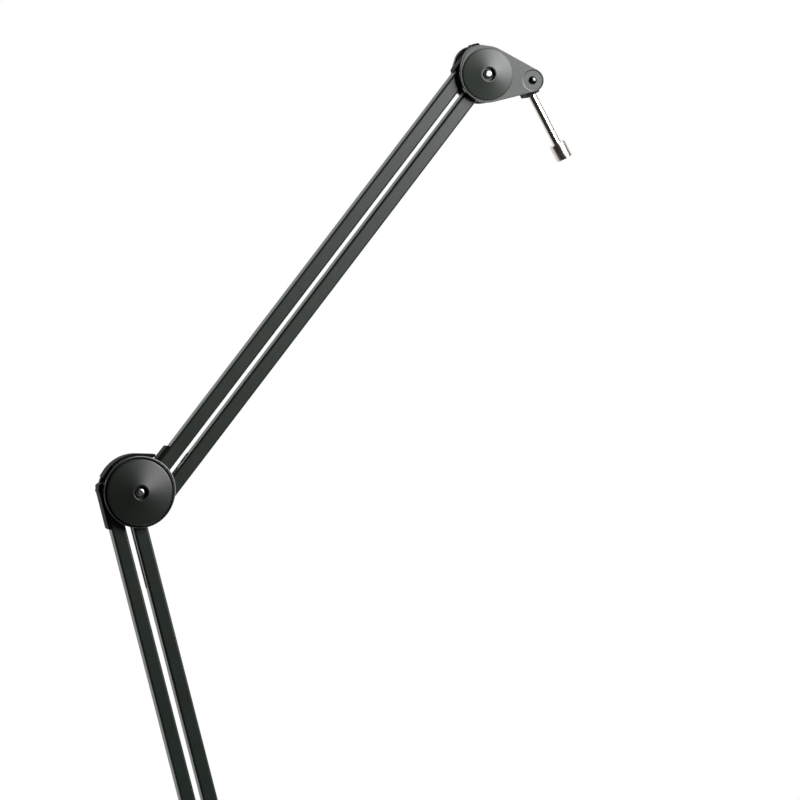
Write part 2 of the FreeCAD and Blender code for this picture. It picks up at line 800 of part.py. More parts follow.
# Base knuckle: spigot with its saddle between two plates, which point straight down.
saddle_depth = plate_inside * 2
spigot = turned("spigot", [
    (ZERO, collar_foot - d.spigot_length), (d.spigot_radius - d.spigot_chamfer, collar_foot - d.spigot_length),
    (d.spigot_radius, collar_foot - d.spigot_length + d.spigot_chamfer), (d.spigot_radius, collar_foot),
    (d.collar_radius, collar_foot), (d.collar_radius, collar_foot + d.collar_height),
    (ZERO, collar_foot + d.collar_height)])
saddle_half = d.saddle_width / 2
saddle_low, saddle_high = base_height - d.saddle_bottom, base_height - d.saddle_top
saddle = polygon(new_sketch(spigot, "XZ_Plane"), [
    (-saddle_half, saddle_low), (saddle_half, saddle_low), (saddle_half, saddle_high), (-saddle_half, saddle_high)])
pad(spigot, saddle, saddle_depth, both_sides=True)
base_rivets = [(-(d.saddle_rivet_spread / 2), -d.saddle_rivet_drop), (d.saddle_rivet_spread / 2, -d.saddle_rivet_drop)]
rivet_holes = new_sketch(spigot, "XZ_Plane")
for across, up in base_rivets:
    circle(rivet_holes, across, base_height + up, d.rivet_radius + d.turn_clearance)
pocket(spigot, rivet_holes, saddle_depth + d.overrun, both_sides=True)
node(spigot, "spigot")

# A plate that points straight down has its own X down and its own Y to the right.
base_frame = knuckle_frame(base_centre, QUARTER)
base_drop = d.saddle_bottom - d.base_tip_radius - d.side_clearance
base_pivots = [in_knuckle(base_centre, pivot) for pivot in (base_outer, base_inner)]
for front in (True, False):
    side = "front" if front else "back"
    plate(f"base_plate_{side}", base_frame, tear_outline(d.knuckle_radius, d.base_tip_radius, base_drop),
          [(-up, across) for across, up in base_pivots], [(-up, across) for across, up in base_rivets], front)
    cover(f"base_cover_{side}", base_frame, d.knuckle_cover_radius, d.knuckle_cover_crown, front)
cover_screws("base_cover_screws", base_frame)
pins("base_pins", [base_outer, base_inner])
rivets("base_rivets", base_centre, base_rivets)
drum("base_drum", Placement(base_inner, Rotation()))

# Lower section.
past_plug = d.seat_clearance - d.cap_edge
channel("lower_outer_channel", lower_frame, d.lower_cap_length + past_plug,
        d.arm_length - d.lower_cap_length - past_plug)
bushes("lower_outer_bushes", lower_frame, [ZERO, d.arm_length])
end_cap("lower_outer_cap_base", lower_frame, ZERO, False, d.lower_cap_length, d.lower_cap_wrap_angle)
end_cap("lower_outer_cap_elbow", lower_frame, d.arm_length, True, d.lower_cap_length, d.lower_cap_wrap_angle)
channel("lower_inner_channel", lower_inner_frame, d.channel_height,
        d.arm_length - d.lower_strip_length - d.seat_clearance)
bushes("lower_inner_bush", lower_inner_frame, [d.arm_length])
mouth_strip("lower_inner_strip", lower_inner_frame, d.arm_length - d.lower_strip_length,
            d.lower_strip_length - d.strip_start)
spring_gear("lower", lower_inner_frame)

# Elbow: two round plates, riveted to the lug of the curved guard, with four pivots between them.
elbow_frame = knuckle_frame(elbow_centre)
elbow_pins = [elbow_lower_outer, elbow_lower_inner, elbow_upper_outer, elbow_upper_inner]
elbow_pivots = [in_knuckle(elbow_centre, pivot) for pivot in elbow_pins]
guard_inside = d.guard_radius - d.guard_thickness
lug_middle = (d.lug_start_angle + d.lug_end_angle) / 2
rivet_circle = guard_inside - d.lug_rivet_inset
elbow_rivets = [(rivet_circle * cosine(lug_middle + turn), rivet_circle * sine(lug_middle + turn))
                for turn in (-d.lug_rivet_angle, d.lug_rivet_angle)]
guard = new_body("elbow_guard")
pad(guard, sector(new_sketch(guard, "XY_Plane"), guard_inside, d.guard_radius, d.guard_start_angle, d.guard_end_angle),
    d.guard_width, both_sides=True)
heel = d.guard_heel_radius * cosine(d.guard_heel_angle), d.guard_heel_radius * sine(d.guard_heel_angle)
for angle, lip, filling in ((d.guard_start_angle, d.guard_right_lip, [heel]), (d.guard_end_angle, -d.guard_left_lip, [])):
    inner, outer = [(radius * cosine(angle), radius * sine(angle)) for radius in (guard_inside, d.guard_radius)]
    run = lip * sine(angle), -(lip * cosine(angle))
    ends = [(across + run[0], up + run[1]) for across, up in (outer, inner)]
    pad(guard, polygon(new_sketch(guard, "XY_Plane"), [inner, outer, *ends, *filling]), d.guard_width, both_sides=True)
lug_outside = guard_inside + d.guard_thickness / 2
pad(guard, sector(new_sketch(guard, "XY_Plane"), guard_inside - d.lug_depth, lug_outside, d.lug_start_angle, d.lug_end_angle),
    plate_inside * 2, both_sides=True)
lug_holes = new_sketch(guard, "XY_Plane")
for across, up in elbow_rivets:
    circle(lug_holes, across, up, d.rivet_radius + d.turn_clearance)
pocket(guard, lug_holes, plate_inside * 2 + d.overrun, both_sides=True)
node(guard, "elbow_guard", elbow_frame)
for front in (True, False):
    side = "front" if front else "back"
    plate(f"elbow_plate_{side}", elbow_frame, disc_outline(d.elbow_radius), elbow_pivots, elbow_rivets, front)
    cover(f"elbow_cover_{side}", elbow_frame, d.elbow_cover_radius, d.elbow_cover_crown, front)
cover_screws("elbow_cover_screws", elbow_frame)
pins("elbow_pins", elbow_pins)
rivets("elbow_rivets", elbow_centre, elbow_rivets)
drum("elbow_drum", Placement(elbow_upper_inner, Rotation()))

# Upper section.
channel("upper_outer_channel", upper_frame, d.elbow_cap_length + past_plug,
        d.arm_length - d.head_cap_length - past_plug)
bushes("upper_outer_bushes", upper_frame, [ZERO, d.arm_length])
end_cap("upper_outer_cap_elbow", upper_frame, ZERO, False, d.elbow_cap_length, d.elbow_cap_wrap_angle)
end_cap("upper_outer_cap_head", upper_frame, d.arm_length, True, d.head_cap_length, d.head_cap_wrap_angle)
channel("upper_inner_channel", upper_inner_frame, d.upper_strip_length + d.seat_clearance,
        d.arm_length - d.channel_height)
bushes("upper_inner_bush", upper_inner_frame, [d.arm_length])
mouth_strip("upper_inner_strip", upper_inner_frame, d.strip_start, d.upper_strip_length - d.strip_start)
spring_gear("upper", upper_inner_frame)

# Head: two teardrop plates round a spacer, with the bolt of the swivel at their small end.
head_frame = knuckle_frame(head_centre, d.head_angle)
slope_back = Rotation(Vector(0, 1, 0), -float(d.head_angle))
head_pins = [head_outer, head_inner]
head_pivots = []
for pivot in head_pins:
    local = slope_back.multVec(pivot - head_centre)
    head_pivots.append((local.x, local.z))
spacer_place = [(d.spacer_along, d.spacer_up)]
bolt_hole = d.bolt_radius + d.turn_clearance
for front in (True, False):
    side = "front" if front else "back"
    plate(f"head_plate_{side}", head_frame, tear_outline(d.knuckle_radius, d.head_tip_radius, d.head_reach),
          head_pivots, spacer_place, front, more_holes=[(d.head_reach, ZERO, bolt_hole)])
    cover(f"head_cover_{side}", head_frame, d.knuckle_cover_radius, d.knuckle_cover_crown, front)
cover_screws("head_cover_screws", head_frame)
pins("head_pins", head_pins)
spacer_frame = at(head_frame, x=d.spacer_along, y=d.spacer_up)
spacer = cylinder(d.spacer_radius, plate_inside * 2, spacer_frame)
peg = cylinder(d.rivet_radius, plate_outside * 2, spacer_frame)
node(fuse([spacer, peg], "head_spacer"), "head_spacer")

# Swivel bolt, its dished washers and its nut.
swivel_frame = at(head_frame, x=d.head_reach)
washers = []
for front in (True, False):
    eye = d.washer_eye_radius if front else d.nut_eye_radius
    washer = turned(f"swivel_washer_{'front' if front else 'back'}", [
        (bolt_hole, ZERO), (d.washer_radius, ZERO), (d.washer_radius, d.washer_height / 2),
        (d.washer_radius - d.washer_height / 2, d.washer_height), (eye, d.washer_height),
        (eye, d.washer_floor), (bolt_hole, d.washer_floor)])
    washer.Placement = facing(swivel_frame, front, plate_outside)
    washers.append(washer)
node(group(washers, "swivel_washers"), "swivel_washers")
seat = plate_outside + d.washer_floor
bolt_tip = seat + d.bolt_head_height
bolt = turned("swivel_bolt", [
    (ZERO, -bolt_tip), (d.bolt_radius, -bolt_tip), (d.bolt_radius, seat), (d.bolt_head_radius, seat),
    (d.bolt_head_radius, bolt_tip), (ZERO, bolt_tip)])
six_sided_socket(bolt, d.socket_radius, bolt_tip, d.socket_depth)
node(bolt, "swivel_bolt", swivel_frame)
hexagon = doc.addObject("Part::Prism", "nut_blank")
bind(hexagon, Circumradius=d.nut_radius, Height=d.bolt_head_height)
hexagon.Placement = at(swivel_frame, z=-bolt_tip)
nut_bore = cylinder(d.bolt_radius, d.bolt_head_height + d.overrun, at(swivel_frame, z=-bolt_tip + d.bolt_head_height / 2))
node(cut(hexagon, nut_bore, "swivel_nut"), "swivel_nut")

# Swivel block, rod and end sleeve: own X runs along the rod, own Z to the side the block is offset to.
rod_frame = Placement(swivel_frame.Base, Rotation(Vector(0, 1, 0), QUARTER - float(d.rod_angle)))
block = new_body("swivel_block")
block_half = d.block_width / 2
profile = new_sketch(block, "XZ_Plane")
back = profile.addGeometry(arc(Vector(0, -float(d.block_offset), 0), float(block_half), QUARTER, 3 * QUARTER), False)
upper_side, lower_side = block_half - d.block_offset, -block_half - d.block_offset
corners = [(d.block_length, lower_side), (d.block_length, d.block_cut_end), (d.block_cut_start, upper_side)]
stops = [profile.getPoint(back, 2), *[Vector(float(x), float(y), 0) for x, y in corners], profile.getPoint(back, 1)]
runs = [profile.addGeometry(Part.LineSegment(*stop), False) for stop in zip(stops, stops[1:])]
loop = [back, *runs]
for leaving, arriving in zip(loop, [*runs, back]):
    profile.addConstraint(Sketcher.Constraint("Coincident", leaving, 2, arriving, 1))
hold(profile, back, 3, ZERO, -d.block_offset)
hold(profile, back, 1, ZERO, upper_side)
constrain(profile, "DistanceX", ZERO, -1, 1, back, 2)
for run, corner in zip(runs, corners):
    hold(profile, run, 2, *corner)
block_depth = d.knuckle_gap - d.side_clearance * 2
pad(block, profile, block_depth, both_sides=True)
pocket(block, circle(new_sketch(block, "XZ_Plane"), ZERO, ZERO, bolt_hole), block_depth + d.overrun, both_sides=True)
rod_hole = circle(new_sketch(block, "YZ_Plane"), ZERO, -d.block_offset, d.rod_radius)
bind(rod_hole, **{"AttachmentOffset.Base.z": d.block_length})
pocket(block, rod_hole, d.rod_seat)
node(block, "swivel_block", rod_frame)

rod_start, rod_end = d.block_length - d.rod_seat, d.block_length + d.rod_length
along_rod = Rotation(Vector(0, 1, 0), QUARTER)
rod_axis = at(rod_frame, z=-d.block_offset, turn=along_rod)
node(turned("mic_rod", [
    (ZERO, rod_start), (d.rod_radius, rod_start), (d.rod_radius, rod_end + d.rod_tenon), (ZERO, rod_end + d.rod_tenon)]),
    "mic_rod", rod_axis)
tip = rod_end + d.sleeve_length
chamfered = d.sleeve_radius - d.sleeve_chamfer
node(turned("mic_sleeve", [
    (d.rod_radius, rod_end), (chamfered, rod_end), (d.sleeve_radius, rod_end + d.sleeve_chamfer),
    (d.sleeve_radius, tip - d.sleeve_chamfer), (chamfered, tip), (d.mic_hole_radius, tip),
    (d.mic_hole_radius, tip - d.mic_hole_depth), (ZERO, tip - d.mic_hole_depth), (ZERO, rod_end + d.rod_tenon),
    (d.rod_radius, rod_end + d.rod_tenon)]), "mic_sleeve", rod_axis)

doc.recompute()
faults = [thing.Name for thing in doc.Objects if "Invalid" in thing.State or "Error" in thing.State]
faults += [label for label, thing in nodes.items() if thing.Shape.isNull() or not thing.Shape.isValid()]
if faults:
    raise RuntimeError(f"not built: {faults}")
os.makedirs("parts", exist_ok=True)
for label, thing in nodes.items():
    thing.Shape.exportStep(f"parts/{label}.step")
print(f"{len(nodes)} nodes written")
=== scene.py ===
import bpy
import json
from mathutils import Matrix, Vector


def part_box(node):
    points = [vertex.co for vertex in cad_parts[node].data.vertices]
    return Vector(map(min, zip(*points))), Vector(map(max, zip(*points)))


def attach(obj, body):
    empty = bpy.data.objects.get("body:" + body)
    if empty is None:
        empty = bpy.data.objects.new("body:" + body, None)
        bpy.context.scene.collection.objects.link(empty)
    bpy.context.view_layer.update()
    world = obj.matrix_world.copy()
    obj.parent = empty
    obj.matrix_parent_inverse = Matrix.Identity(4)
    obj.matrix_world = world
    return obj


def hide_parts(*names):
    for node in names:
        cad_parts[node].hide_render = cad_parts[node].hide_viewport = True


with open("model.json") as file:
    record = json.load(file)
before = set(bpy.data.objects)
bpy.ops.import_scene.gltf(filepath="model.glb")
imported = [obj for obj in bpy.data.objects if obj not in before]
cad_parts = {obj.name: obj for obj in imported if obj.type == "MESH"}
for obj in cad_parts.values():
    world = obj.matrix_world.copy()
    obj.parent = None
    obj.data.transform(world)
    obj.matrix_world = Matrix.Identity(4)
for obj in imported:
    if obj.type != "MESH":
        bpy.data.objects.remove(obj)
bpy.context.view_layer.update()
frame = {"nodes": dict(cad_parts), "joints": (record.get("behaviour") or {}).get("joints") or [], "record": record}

import json
import math

import bmesh
import bpy
import numpy as np
from mathutils import Vector

# Desk flange and spigot: a turned steel foot that is screwed to the desk, and the knuckle that turns in it.
# Both have a satin black powder coat, which shows a fine orange peel and soft, broad highlights.
nodes = frame["nodes"]
MM = 0.001


def linear(code):
    """sRGB hex to linear light: ((c + 0.055) / 1.055) ^ 2.4 above the short straight foot of the curve."""
    parts = np.array([int(code[i:i + 2], 16) for i in (1, 3, 5)]) / 255
    low, high = parts / 12.92, ((parts + 0.055) / 1.055) ** 2.4
    return (*np.where(parts <= 0.04045, low, high), 1.0)


def add(tree, kind, links=None, **settings):
    """One node: settings fill its properties or input sockets, links join sockets to other nodes' outputs."""
    node = tree.nodes.new(kind)
    for key, value in settings.items():
        if hasattr(node, key):
            setattr(node, key, value)
        else:
            node.inputs[key.replace("_", " ")].default_value = value
    for socket, (source, output) in (links or {}).items():
        tree.links.new(source.outputs[output], node.inputs[socket])
    return node


def blank(name):
    """An empty node material and its tree."""
    material = bpy.data.materials.new(name)
    material.use_nodes = True
    material.node_tree.nodes.clear()
    return material, material.node_tree


def between(tree, source, low, high):
    """A noise or a wave, from 0 to 1, mapped to lie between two values."""
    return add(tree, "ShaderNodeMapRange", {"Value": (source, "Fac")}, To_Min=low, To_Max=high)


def powder_coat(name, dark, light, roughness, peel, rim=None):
    """Satin powder coat: two close greys in soft clouds, and the slight orange peel of baked powder. A rim (metal,
    depths, middle, way, reach) is a painted highlight: the colour metal is painted where the depth |y| lies between
    the two depths, on the side of the middle where (p - middle) . way is beyond the two reaches, the side that
    faces the lamp."""
    material, tree = blank(name)
    place = add(tree, "ShaderNodeTexCoord")
    # Clouds about 25 mm across; the real peel is about 0.4 mm, drawn at 1.6 mm so that it shows in a render.
    clouds = add(tree, "ShaderNodeTexNoise", {"Vector": (place, "Object")}, Scale=1 / (25 * MM), Detail=2.0)
    grain = add(tree, "ShaderNodeTexNoise", {"Vector": (place, "Object")}, Scale=1 / (1.6 * MM), Detail=3.0)
    tone = add(tree, "ShaderNodeValToRGB", {"Fac": (clouds, "Fac")})
    tone.color_ramp.elements[0].position, tone.color_ramp.elements[1].position = 0.35, 0.65
    tone.color_ramp.elements[0].color, tone.color_ramp.elements[1].color = linear(dark), linear(light)
    colour = tone, "Color"
    # A rim paints a highlight: a paler colour on the side that faces the lamp.
    if rim:
        metal, depths, middle, way, reach = rim
        parts = add(tree, "ShaderNodeSeparateXYZ", {"Vector": (place, "Object")})
        depth = add(tree, "ShaderNodeMath", {0: (parts, "Y")}, operation="ABSOLUTE")
        span = add(tree, "ShaderNodeMapRange", {"Value": (depth, "Value")}, From_Min=depths[0], From_Max=depths[1])
        band = add(tree, "ShaderNodeValToRGB", {"Fac": (span, "Result")})
        band.color_ramp.elements[0].position, band.color_ramp.elements[1].position = 0.03, 0.14
        band.color_ramp.elements[0].color, band.color_ramp.elements[1].color = (0, 0, 0, 1), (1, 1, 1, 1)
        for position, level in ((0.86, 1), (0.97, 0)):
            band.color_ramp.elements.new(position).color = (level, level, level, 1)
        from_middle = add(tree, "ShaderNodeVectorMath", {0: (place, "Object")}, operation="SUBTRACT")
        from_middle.inputs[1].default_value = middle
        beyond = add(tree, "ShaderNodeVectorMath", {0: (from_middle, "Vector")}, operation="DOT_PRODUCT")
        beyond.inputs[1].default_value = way
        side = add(tree, "ShaderNodeMapRange", {"Value": (beyond, "Value")}, interpolation_type="SMOOTHSTEP",
                   From_Min=reach[0], From_Max=reach[1])
        edge = add(tree, "ShaderNodeMath", {0: (band, "Color"), 1: (side, "Result")}, operation="MULTIPLY")
        highlight_mix = add(tree, "ShaderNodeMix", {0: (edge, "Value"), 6: (tone, "Color")}, data_type="RGBA")
        highlight_mix.inputs[7].default_value = linear(metal)
        colour = highlight_mix, 2
    gloss = between(tree, grain, roughness - 0.04, roughness + 0.04)
    bump = add(tree, "ShaderNodeBump", {"Height": (grain, "Fac")}, Strength=peel, Distance=0.02 * MM)
    shader = add(tree, "ShaderNodeBsdfPrincipled",
                 {"Base Color": colour, "Roughness": (gloss, "Result"), "Normal": (bump, "Normal")}, IOR=1.5)
    add(tree, "ShaderNodeOutputMaterial", {"Surface": (shader, "BSDF")})
    return material


def dress(material, *names):
    """Gives carried-over CAD nodes their finish."""
    for name in names:
        slots = nodes[name].data.materials
        slots.clear()
        slots.append(material)


foot_coat = powder_coat("satin_black_powder_coat", "#1b211d", "#222824", 0.45, 0.25)
dress(foot_coat, "mount_flange", "spigot")

# Bushes: turned black nylon sleeves, pressed in where the spigot and the pins turn.
# Nylon is dull and a little waxy, with faint turning marks.


def moulded_polymer(name, colour, roughness, shine, grain_mm, depth):
    """Moulded or turned polymer: one dark colour, spark-eroded grain in the bump and in the roughness."""
    material, tree = blank(name)
    place = add(tree, "ShaderNodeTexCoord")
    grain = add(tree, "ShaderNodeTexNoise", {"Vector": (place, "Object")}, Scale=1 / (grain_mm * MM), Detail=4.0)
    gloss = between(tree, grain, roughness - 0.06, roughness + 0.06)
    bump = add(tree, "ShaderNodeBump", {"Height": (grain, "Fac")}, Strength=0.35, Distance=depth * MM)
    shader = add(tree, "ShaderNodeBsdfPrincipled", {"Roughness": (gloss, "Result"), "Normal": (bump, "Normal")},
                 Base_Color=linear(colour), IOR=1.5, Specular_IOR_Level=shine)
    add(tree, "ShaderNodeOutputMaterial", {"Surface": (shader, "BSDF")})
    return material


nylon = moulded_polymer("turned_black_nylon", "#202020", 0.55, 0.4, 1.2, 0.03)
dress(nylon, "spigot_bush", "lower_outer_bushes", "lower_inner_bush", "upper_outer_bushes", "upper_inner_bush")

# Pins, rivets, drums and spring gear: bright drawn steel bar, cut to length and pressed or riveted in.
# Drawn steel has fine lines along the bar and a soft metallic sheen.


def drawn_steel(name, dark, light, roughness):
    """Bright drawn steel: streaks about 0.3 mm wide, long in depth, which vary colour and roughness."""
    material, tree = blank(name)
    place = add(tree, "ShaderNodeTexCoord")
    along = add(tree, "ShaderNodeMapping", {"Vector": (place, "Object")}, Scale=(1.0, 0.04, 1.0))
    streak = add(tree, "ShaderNodeTexNoise", {"Vector": (along, "Vector")}, Scale=1 / (0.3 * MM), Detail=3.0)
    tone = add(tree, "ShaderNodeValToRGB", {"Fac": (streak, "Fac")})
    tone.color_ramp.elements[0].color, tone.color_ramp.elements[1].color = linear(dark), linear(light)
    gloss = between(tree, streak, roughness - 0.06, roughness + 0.08)
    shader = add(tree, "ShaderNodeBsdfPrincipled",
                 {"Base Color": (tone, "Color"), "Roughness": (gloss, "Result")}, Metallic=1.0)
    add(tree, "ShaderNodeOutputMaterial", {"Surface": (shader, "BSDF")})
    return material


bright_steel = drawn_steel("bright_drawn_steel", "#a5a4a0", "#c4c3bf", 0.28)
dress(bright_steel, "base_pins", "elbow_pins", "head_pins", "base_rivets", "elbow_rivets", "head_spacer",
      "base_drum", "elbow_drum", "lower_spring_anchor", "upper_spring_anchor", "lower_spring_yoke",
      "upper_spring_yoke")

# Channels: four lengths of rounded steel box section, open only next to their round ends.
# They have a dark satin powder coat, and mirror the backdrop where they are seen at a slant.
channel_coat = powder_coat("satin_graphite_powder_coat", "#141d17", "#18211b", 0.36, 0.2)
dress(channel_coat, "lower_outer_channel", "lower_inner_channel", "upper_outer_channel", "upper_inner_channel")

# Plates of the head and the base: pairs of pressed aluminium cheeks with a fine rounded rim and a small round end.
# They have a grey satin powder coat. Those of the head have a boss on top and a shallow pocket round the end bolt.
joint_at = {joint["name"]: np.array(joint["pos_m"]) for joint in frame["joints"]}
FRONT, BACK = -1, 1
FULL = 2 * np.pi
# Points closer than MERGE become one, edges over SHARP stay sharp, and FLAT_ROW counts in rims from the outline.
MERGE, SHARP, FLAT_ROW = 0.001 * MM, math.radians(32), 1.15
plate_low, plate_high = (abs(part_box("elbow_plate_back")[i].y) for i in (0, 1))


def middle_of(name):
    """The middle of a node's box."""
    low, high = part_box(name)
    return (np.array(low) + np.array(high)) / 2


def ring_shell(points, wrap=False):
    """Quads between neighbouring closed rings, rows by points; an open stack gets a flat face at each end."""
    rows, count = points.shape[:2]
    index = np.arange(rows * count).reshape(rows, count)
    low, high = (index, np.roll(index, -1, 0)) if wrap else (index[:-1], index[1:])
    quads = np.stack([low, np.roll(low, -1, 1), np.roll(high, -1, 1), high], -1).reshape(-1, 4)
    ends = [] if wrap else [index[0][::-1].tolist(), index[-1].tolist()]
    return points.reshape(-1, 3), quads.tolist() + ends


def piece(name, body, shells, material, slot, *stands_for):
    """One mesh from closed shells: merged, turned outwards, smooth except across sharp edges, riding on a body."""
    shift, points, faces = 0, [], []
    for shell_points, shell_faces in shells:
        points.append(shell_points)
        faces += [[corner + shift for corner in face] for face in shell_faces]
        shift += len(shell_points)
    mesh = bpy.data.meshes.new(name)
    mesh.from_pydata(np.concatenate(points).tolist(), [], faces)
    work = bmesh.new()
    work.from_mesh(mesh)
    bmesh.ops.remove_doubles(work, verts=work.verts, dist=MERGE)
    bmesh.ops.recalc_face_normals(work, faces=work.faces)
    work.to_mesh(mesh)
    work.free()
    mesh.polygons.foreach_set("use_smooth", np.ones(len(mesh.polygons), dtype=bool))
    mesh.set_sharp_from_angle(angle=SHARP)
    mesh.materials.append(material)
    thing = bpy.data.objects.new(name, mesh)
    bpy.context.scene.collection.objects.link(thing)
    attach(thing, body)
    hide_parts(*stands_for)


def slab(outline, low, high, rim, origin, across, up, pocket=None):
    """Outline (u, v) carried from depth low to high; at both ends it draws in by rim * (1 - sin a) while the depth
    has rim * (1 - cos a) to go, for a from 0 to a quarter turn. Point = origin + u*across + v*up + depth*Y.
    One more row lies just inside each flat end, so that the flat keeps its own normals. A pocket (middle, rows) has
    one circle for each (r, sink) of its rows, sunk in the end that is further from y = 0."""
    tangent = np.roll(outline, -1, 0) - np.roll(outline, 1, 0)
    inward = np.stack([-tangent[:, 1], tangent[:, 0]], 1) / np.linalg.norm(tangent, axis=1, keepdims=True)
    quarter = np.linspace(0, np.pi / 2, 9)
    draw, drop = np.append(FLAT_ROW, 1 - np.sin(quarter)), np.append(0, 1 - np.cos(quarter))
    inset = rim * np.concatenate([draw, draw[::-1]])
    depth = np.concatenate([low + rim * drop, high - rim * drop[::-1]])
    flat = outline[None] + inset[:, None, None] * inward[None]
    if pocket:
        middle, rows = np.array(pocket[0]), np.array(pocket[1])
        spoke = (outline - middle) / np.linalg.norm(outline - middle, axis=1, keepdims=True)
        circles = middle + rows[:, :1, None] * spoke[None]
        if abs(low) > abs(high):
            flat, depth = np.concatenate([circles[::-1], flat]), np.append(low + rows[::-1, 1], depth)
        else:
            flat, depth = np.concatenate([flat, circles]), np.append(depth, high - rows[:, 1])
    return ring_shell(origin + flat[..., :1] * across + flat[..., 1:] * up + depth[:, None, None] * np.array([0, 1, 0]))


def arc_points(centre, radius, start, end, count):
    """Points on a circle from one angle to another, in degrees."""
    turn = np.radians(np.linspace(start, end, count))
    return np.array(centre) + radius * np.stack([np.cos(turn), np.sin(turn)], 1)


def hull_outline(circles, count=400, headings=1440):
    """Outline round circles (u, v, r), evenly spaced: at each heading n it has the point c + r*n of the circle that
    reaches furthest, which is the one with the largest c . n + r."""
    circles = np.array(circles)
    heading = np.linspace(0, FULL, headings, endpoint=False)
    normal = np.stack([np.cos(heading), np.sin(heading)], 1)
    furthest = (normal @ circles[:, :2].T + circles[:, 2]).argmax(1)
    line = circles[furthest, :2] + circles[furthest, 2:] * normal
    line = np.concatenate([line, line[:1]])
    way = np.append(0, np.cumsum(np.linalg.norm(np.diff(line, axis=0), axis=1)))
    even = np.linspace(0, way[-1], count, endpoint=False)
    return np.stack([np.interp(even, way, line[:, 0]), np.interp(even, way, line[:, 1])], 1)


X_AXIS, Z_AXIS = np.array([1.0, 0, 0]), np.array([0, 0, 1.0])
HEAD_RADIUS, HEAD_TIP_RADIUS, BASE_RADIUS, BASE_TIP_RADIUS = 20.3 * MM, 8.3 * MM, 20.8 * MM, 10.5 * MM
BOSS_RADIUS, BOSS_REACH, BOSS_ANGLE, PLATE_RIM = 13.4 * MM, 9.0 * MM, math.radians(123), 0.4 * MM
# Radius and depth of each row of the pocket; a second row beside each end of its bevel keeps the flats flat.
POCKET = np.array([(7.82, 0), (7.78, 0), (7.0, 0.3), (6.96, 0.3), (6.6, 0.3)]) * MM
in_plane = np.array([1.0, 0, 1.0])
head_middle, base_middle = (middle_of(f"{knuckle}_cover_front") * in_plane for knuckle in ("head", "base"))
tip_middle = joint_at["mic_swivel"] * in_plane
head_reach = np.linalg.norm(tip_middle - head_middle)
head_along = (tip_middle - head_middle) / head_reach
head_up = np.array([-head_along[2], 0, head_along[0]])
base_reach = base_middle[2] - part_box("base_plate_front")[0].z - BASE_TIP_RADIUS
boss = BOSS_REACH * np.array([math.cos(BOSS_ANGLE), 0, math.sin(BOSS_ANGLE)])
head_outline = hull_outline([(0, 0, HEAD_RADIUS), (boss @ head_along, boss @ head_up, BOSS_RADIUS),
                             (head_reach, 0, HEAD_TIP_RADIUS)])
base_outline = hull_outline([(0, 0, BASE_RADIUS), (base_reach, 0, BASE_TIP_RADIUS)])
plate_coat = powder_coat("satin_grey_powder_coat", "#1f2722", "#252d28", 0.37, 0.2)
for side, word in ((FRONT, "front"), (BACK, "back")):
    low, high = sorted((side * plate_low, side * plate_high))
    for knuckle, outline, middle, across, up, pocket in (
            ("head", head_outline, head_middle, head_along, head_up, ((head_reach, 0), POCKET)),
            ("base", base_outline, base_middle, -Z_AXIS, X_AXIS, None)):
        node = f"{knuckle}_plate_{word}"
        piece(f"{node}_cheek", knuckle, [slab(outline, low, high, PLATE_RIM, middle, across, up, pocket)], plate_coat,
              "plate_paint", node)

# Elbow plates: round cheeks turned from aluminium, with a groove round the cover and a slight swell on one side.
# Their grey powder coat is a darker copy of the head's plate coat, as painted shade, with a painted highlight in
# paler grey along the rim on the side where the upper arm joins, which faces the lamp.
AROUND = 144


def lathe(profile, origin, axis, six_sided=None):
    """Surface of revolution: origin + h*axis + r*(cos t*e1 + sin t*e2) for (r, h) on the profile and t round the
    circle; rows marked six-sided have r * cos(30) / cos(t mod 60 - 30), which is a hexagon."""
    axis = np.array(axis, dtype=float)
    side = np.cross(axis, Z_AXIS if abs(axis[2]) < 0.9 else X_AXIS)
    side /= np.linalg.norm(side)
    turn = np.linspace(0, FULL, AROUND, endpoint=False)
    ring = np.cos(turn)[:, None] * side + np.sin(turn)[:, None] * np.cross(axis, side)
    hexagon = np.cos(np.pi / 6) / np.cos(turn % (np.pi / 3) - np.pi / 6)
    share = np.zeros(len(profile)) if six_sided is None else np.array(six_sided, dtype=float)
    radius = profile[:, :1] * (1 + share[:, None] * (hexagon[None] - 1))
    return origin + profile[:, 1][:, None, None] * axis + radius[..., None] * ring[None]


def round_corners(corners, radii, steps=7):
    """Closed outline whose corners are arcs: each is cut back by r / tan(half its angle) on both sides. One more
    point on each side, r / 5 further back, keeps the normals of the straight runs."""
    corners, radii = np.array(corners, dtype=float), np.array(radii, dtype=float)
    before, after = np.roll(corners, 1, 0) - corners, np.roll(corners, -1, 0) - corners
    before /= np.linalg.norm(before, axis=1, keepdims=True)
    after /= np.linalg.norm(after, axis=1, keepdims=True)
    half = np.arccos(np.clip((before * after).sum(1), -1, 1)) / 2
    inner = before + after
    inner /= np.linalg.norm(inner, axis=1, keepdims=True)
    centre = corners + inner * (radii / np.sin(half))[:, None]
    cut = (radii / np.tan(half))[:, None]
    start, end, swing = corners + before * cut - centre, corners + after * cut - centre, (np.pi - 2 * half)[:, None]
    step = np.linspace(0, 1, steps)[None]
    weights = np.sin((1 - step) * swing) / np.sin(swing), np.sin(step * swing) / np.sin(swing)
    arcs = centre[:, None] + weights[0][..., None] * start[:, None] + weights[1][..., None] * end[:, None]
    lead = radii[:, None] / 5
    first, last = corners + before * (cut + lead), corners + after * (cut + lead)
    return np.concatenate([first[:, None], arcs, last[:, None]], 1).reshape(-1, 2)


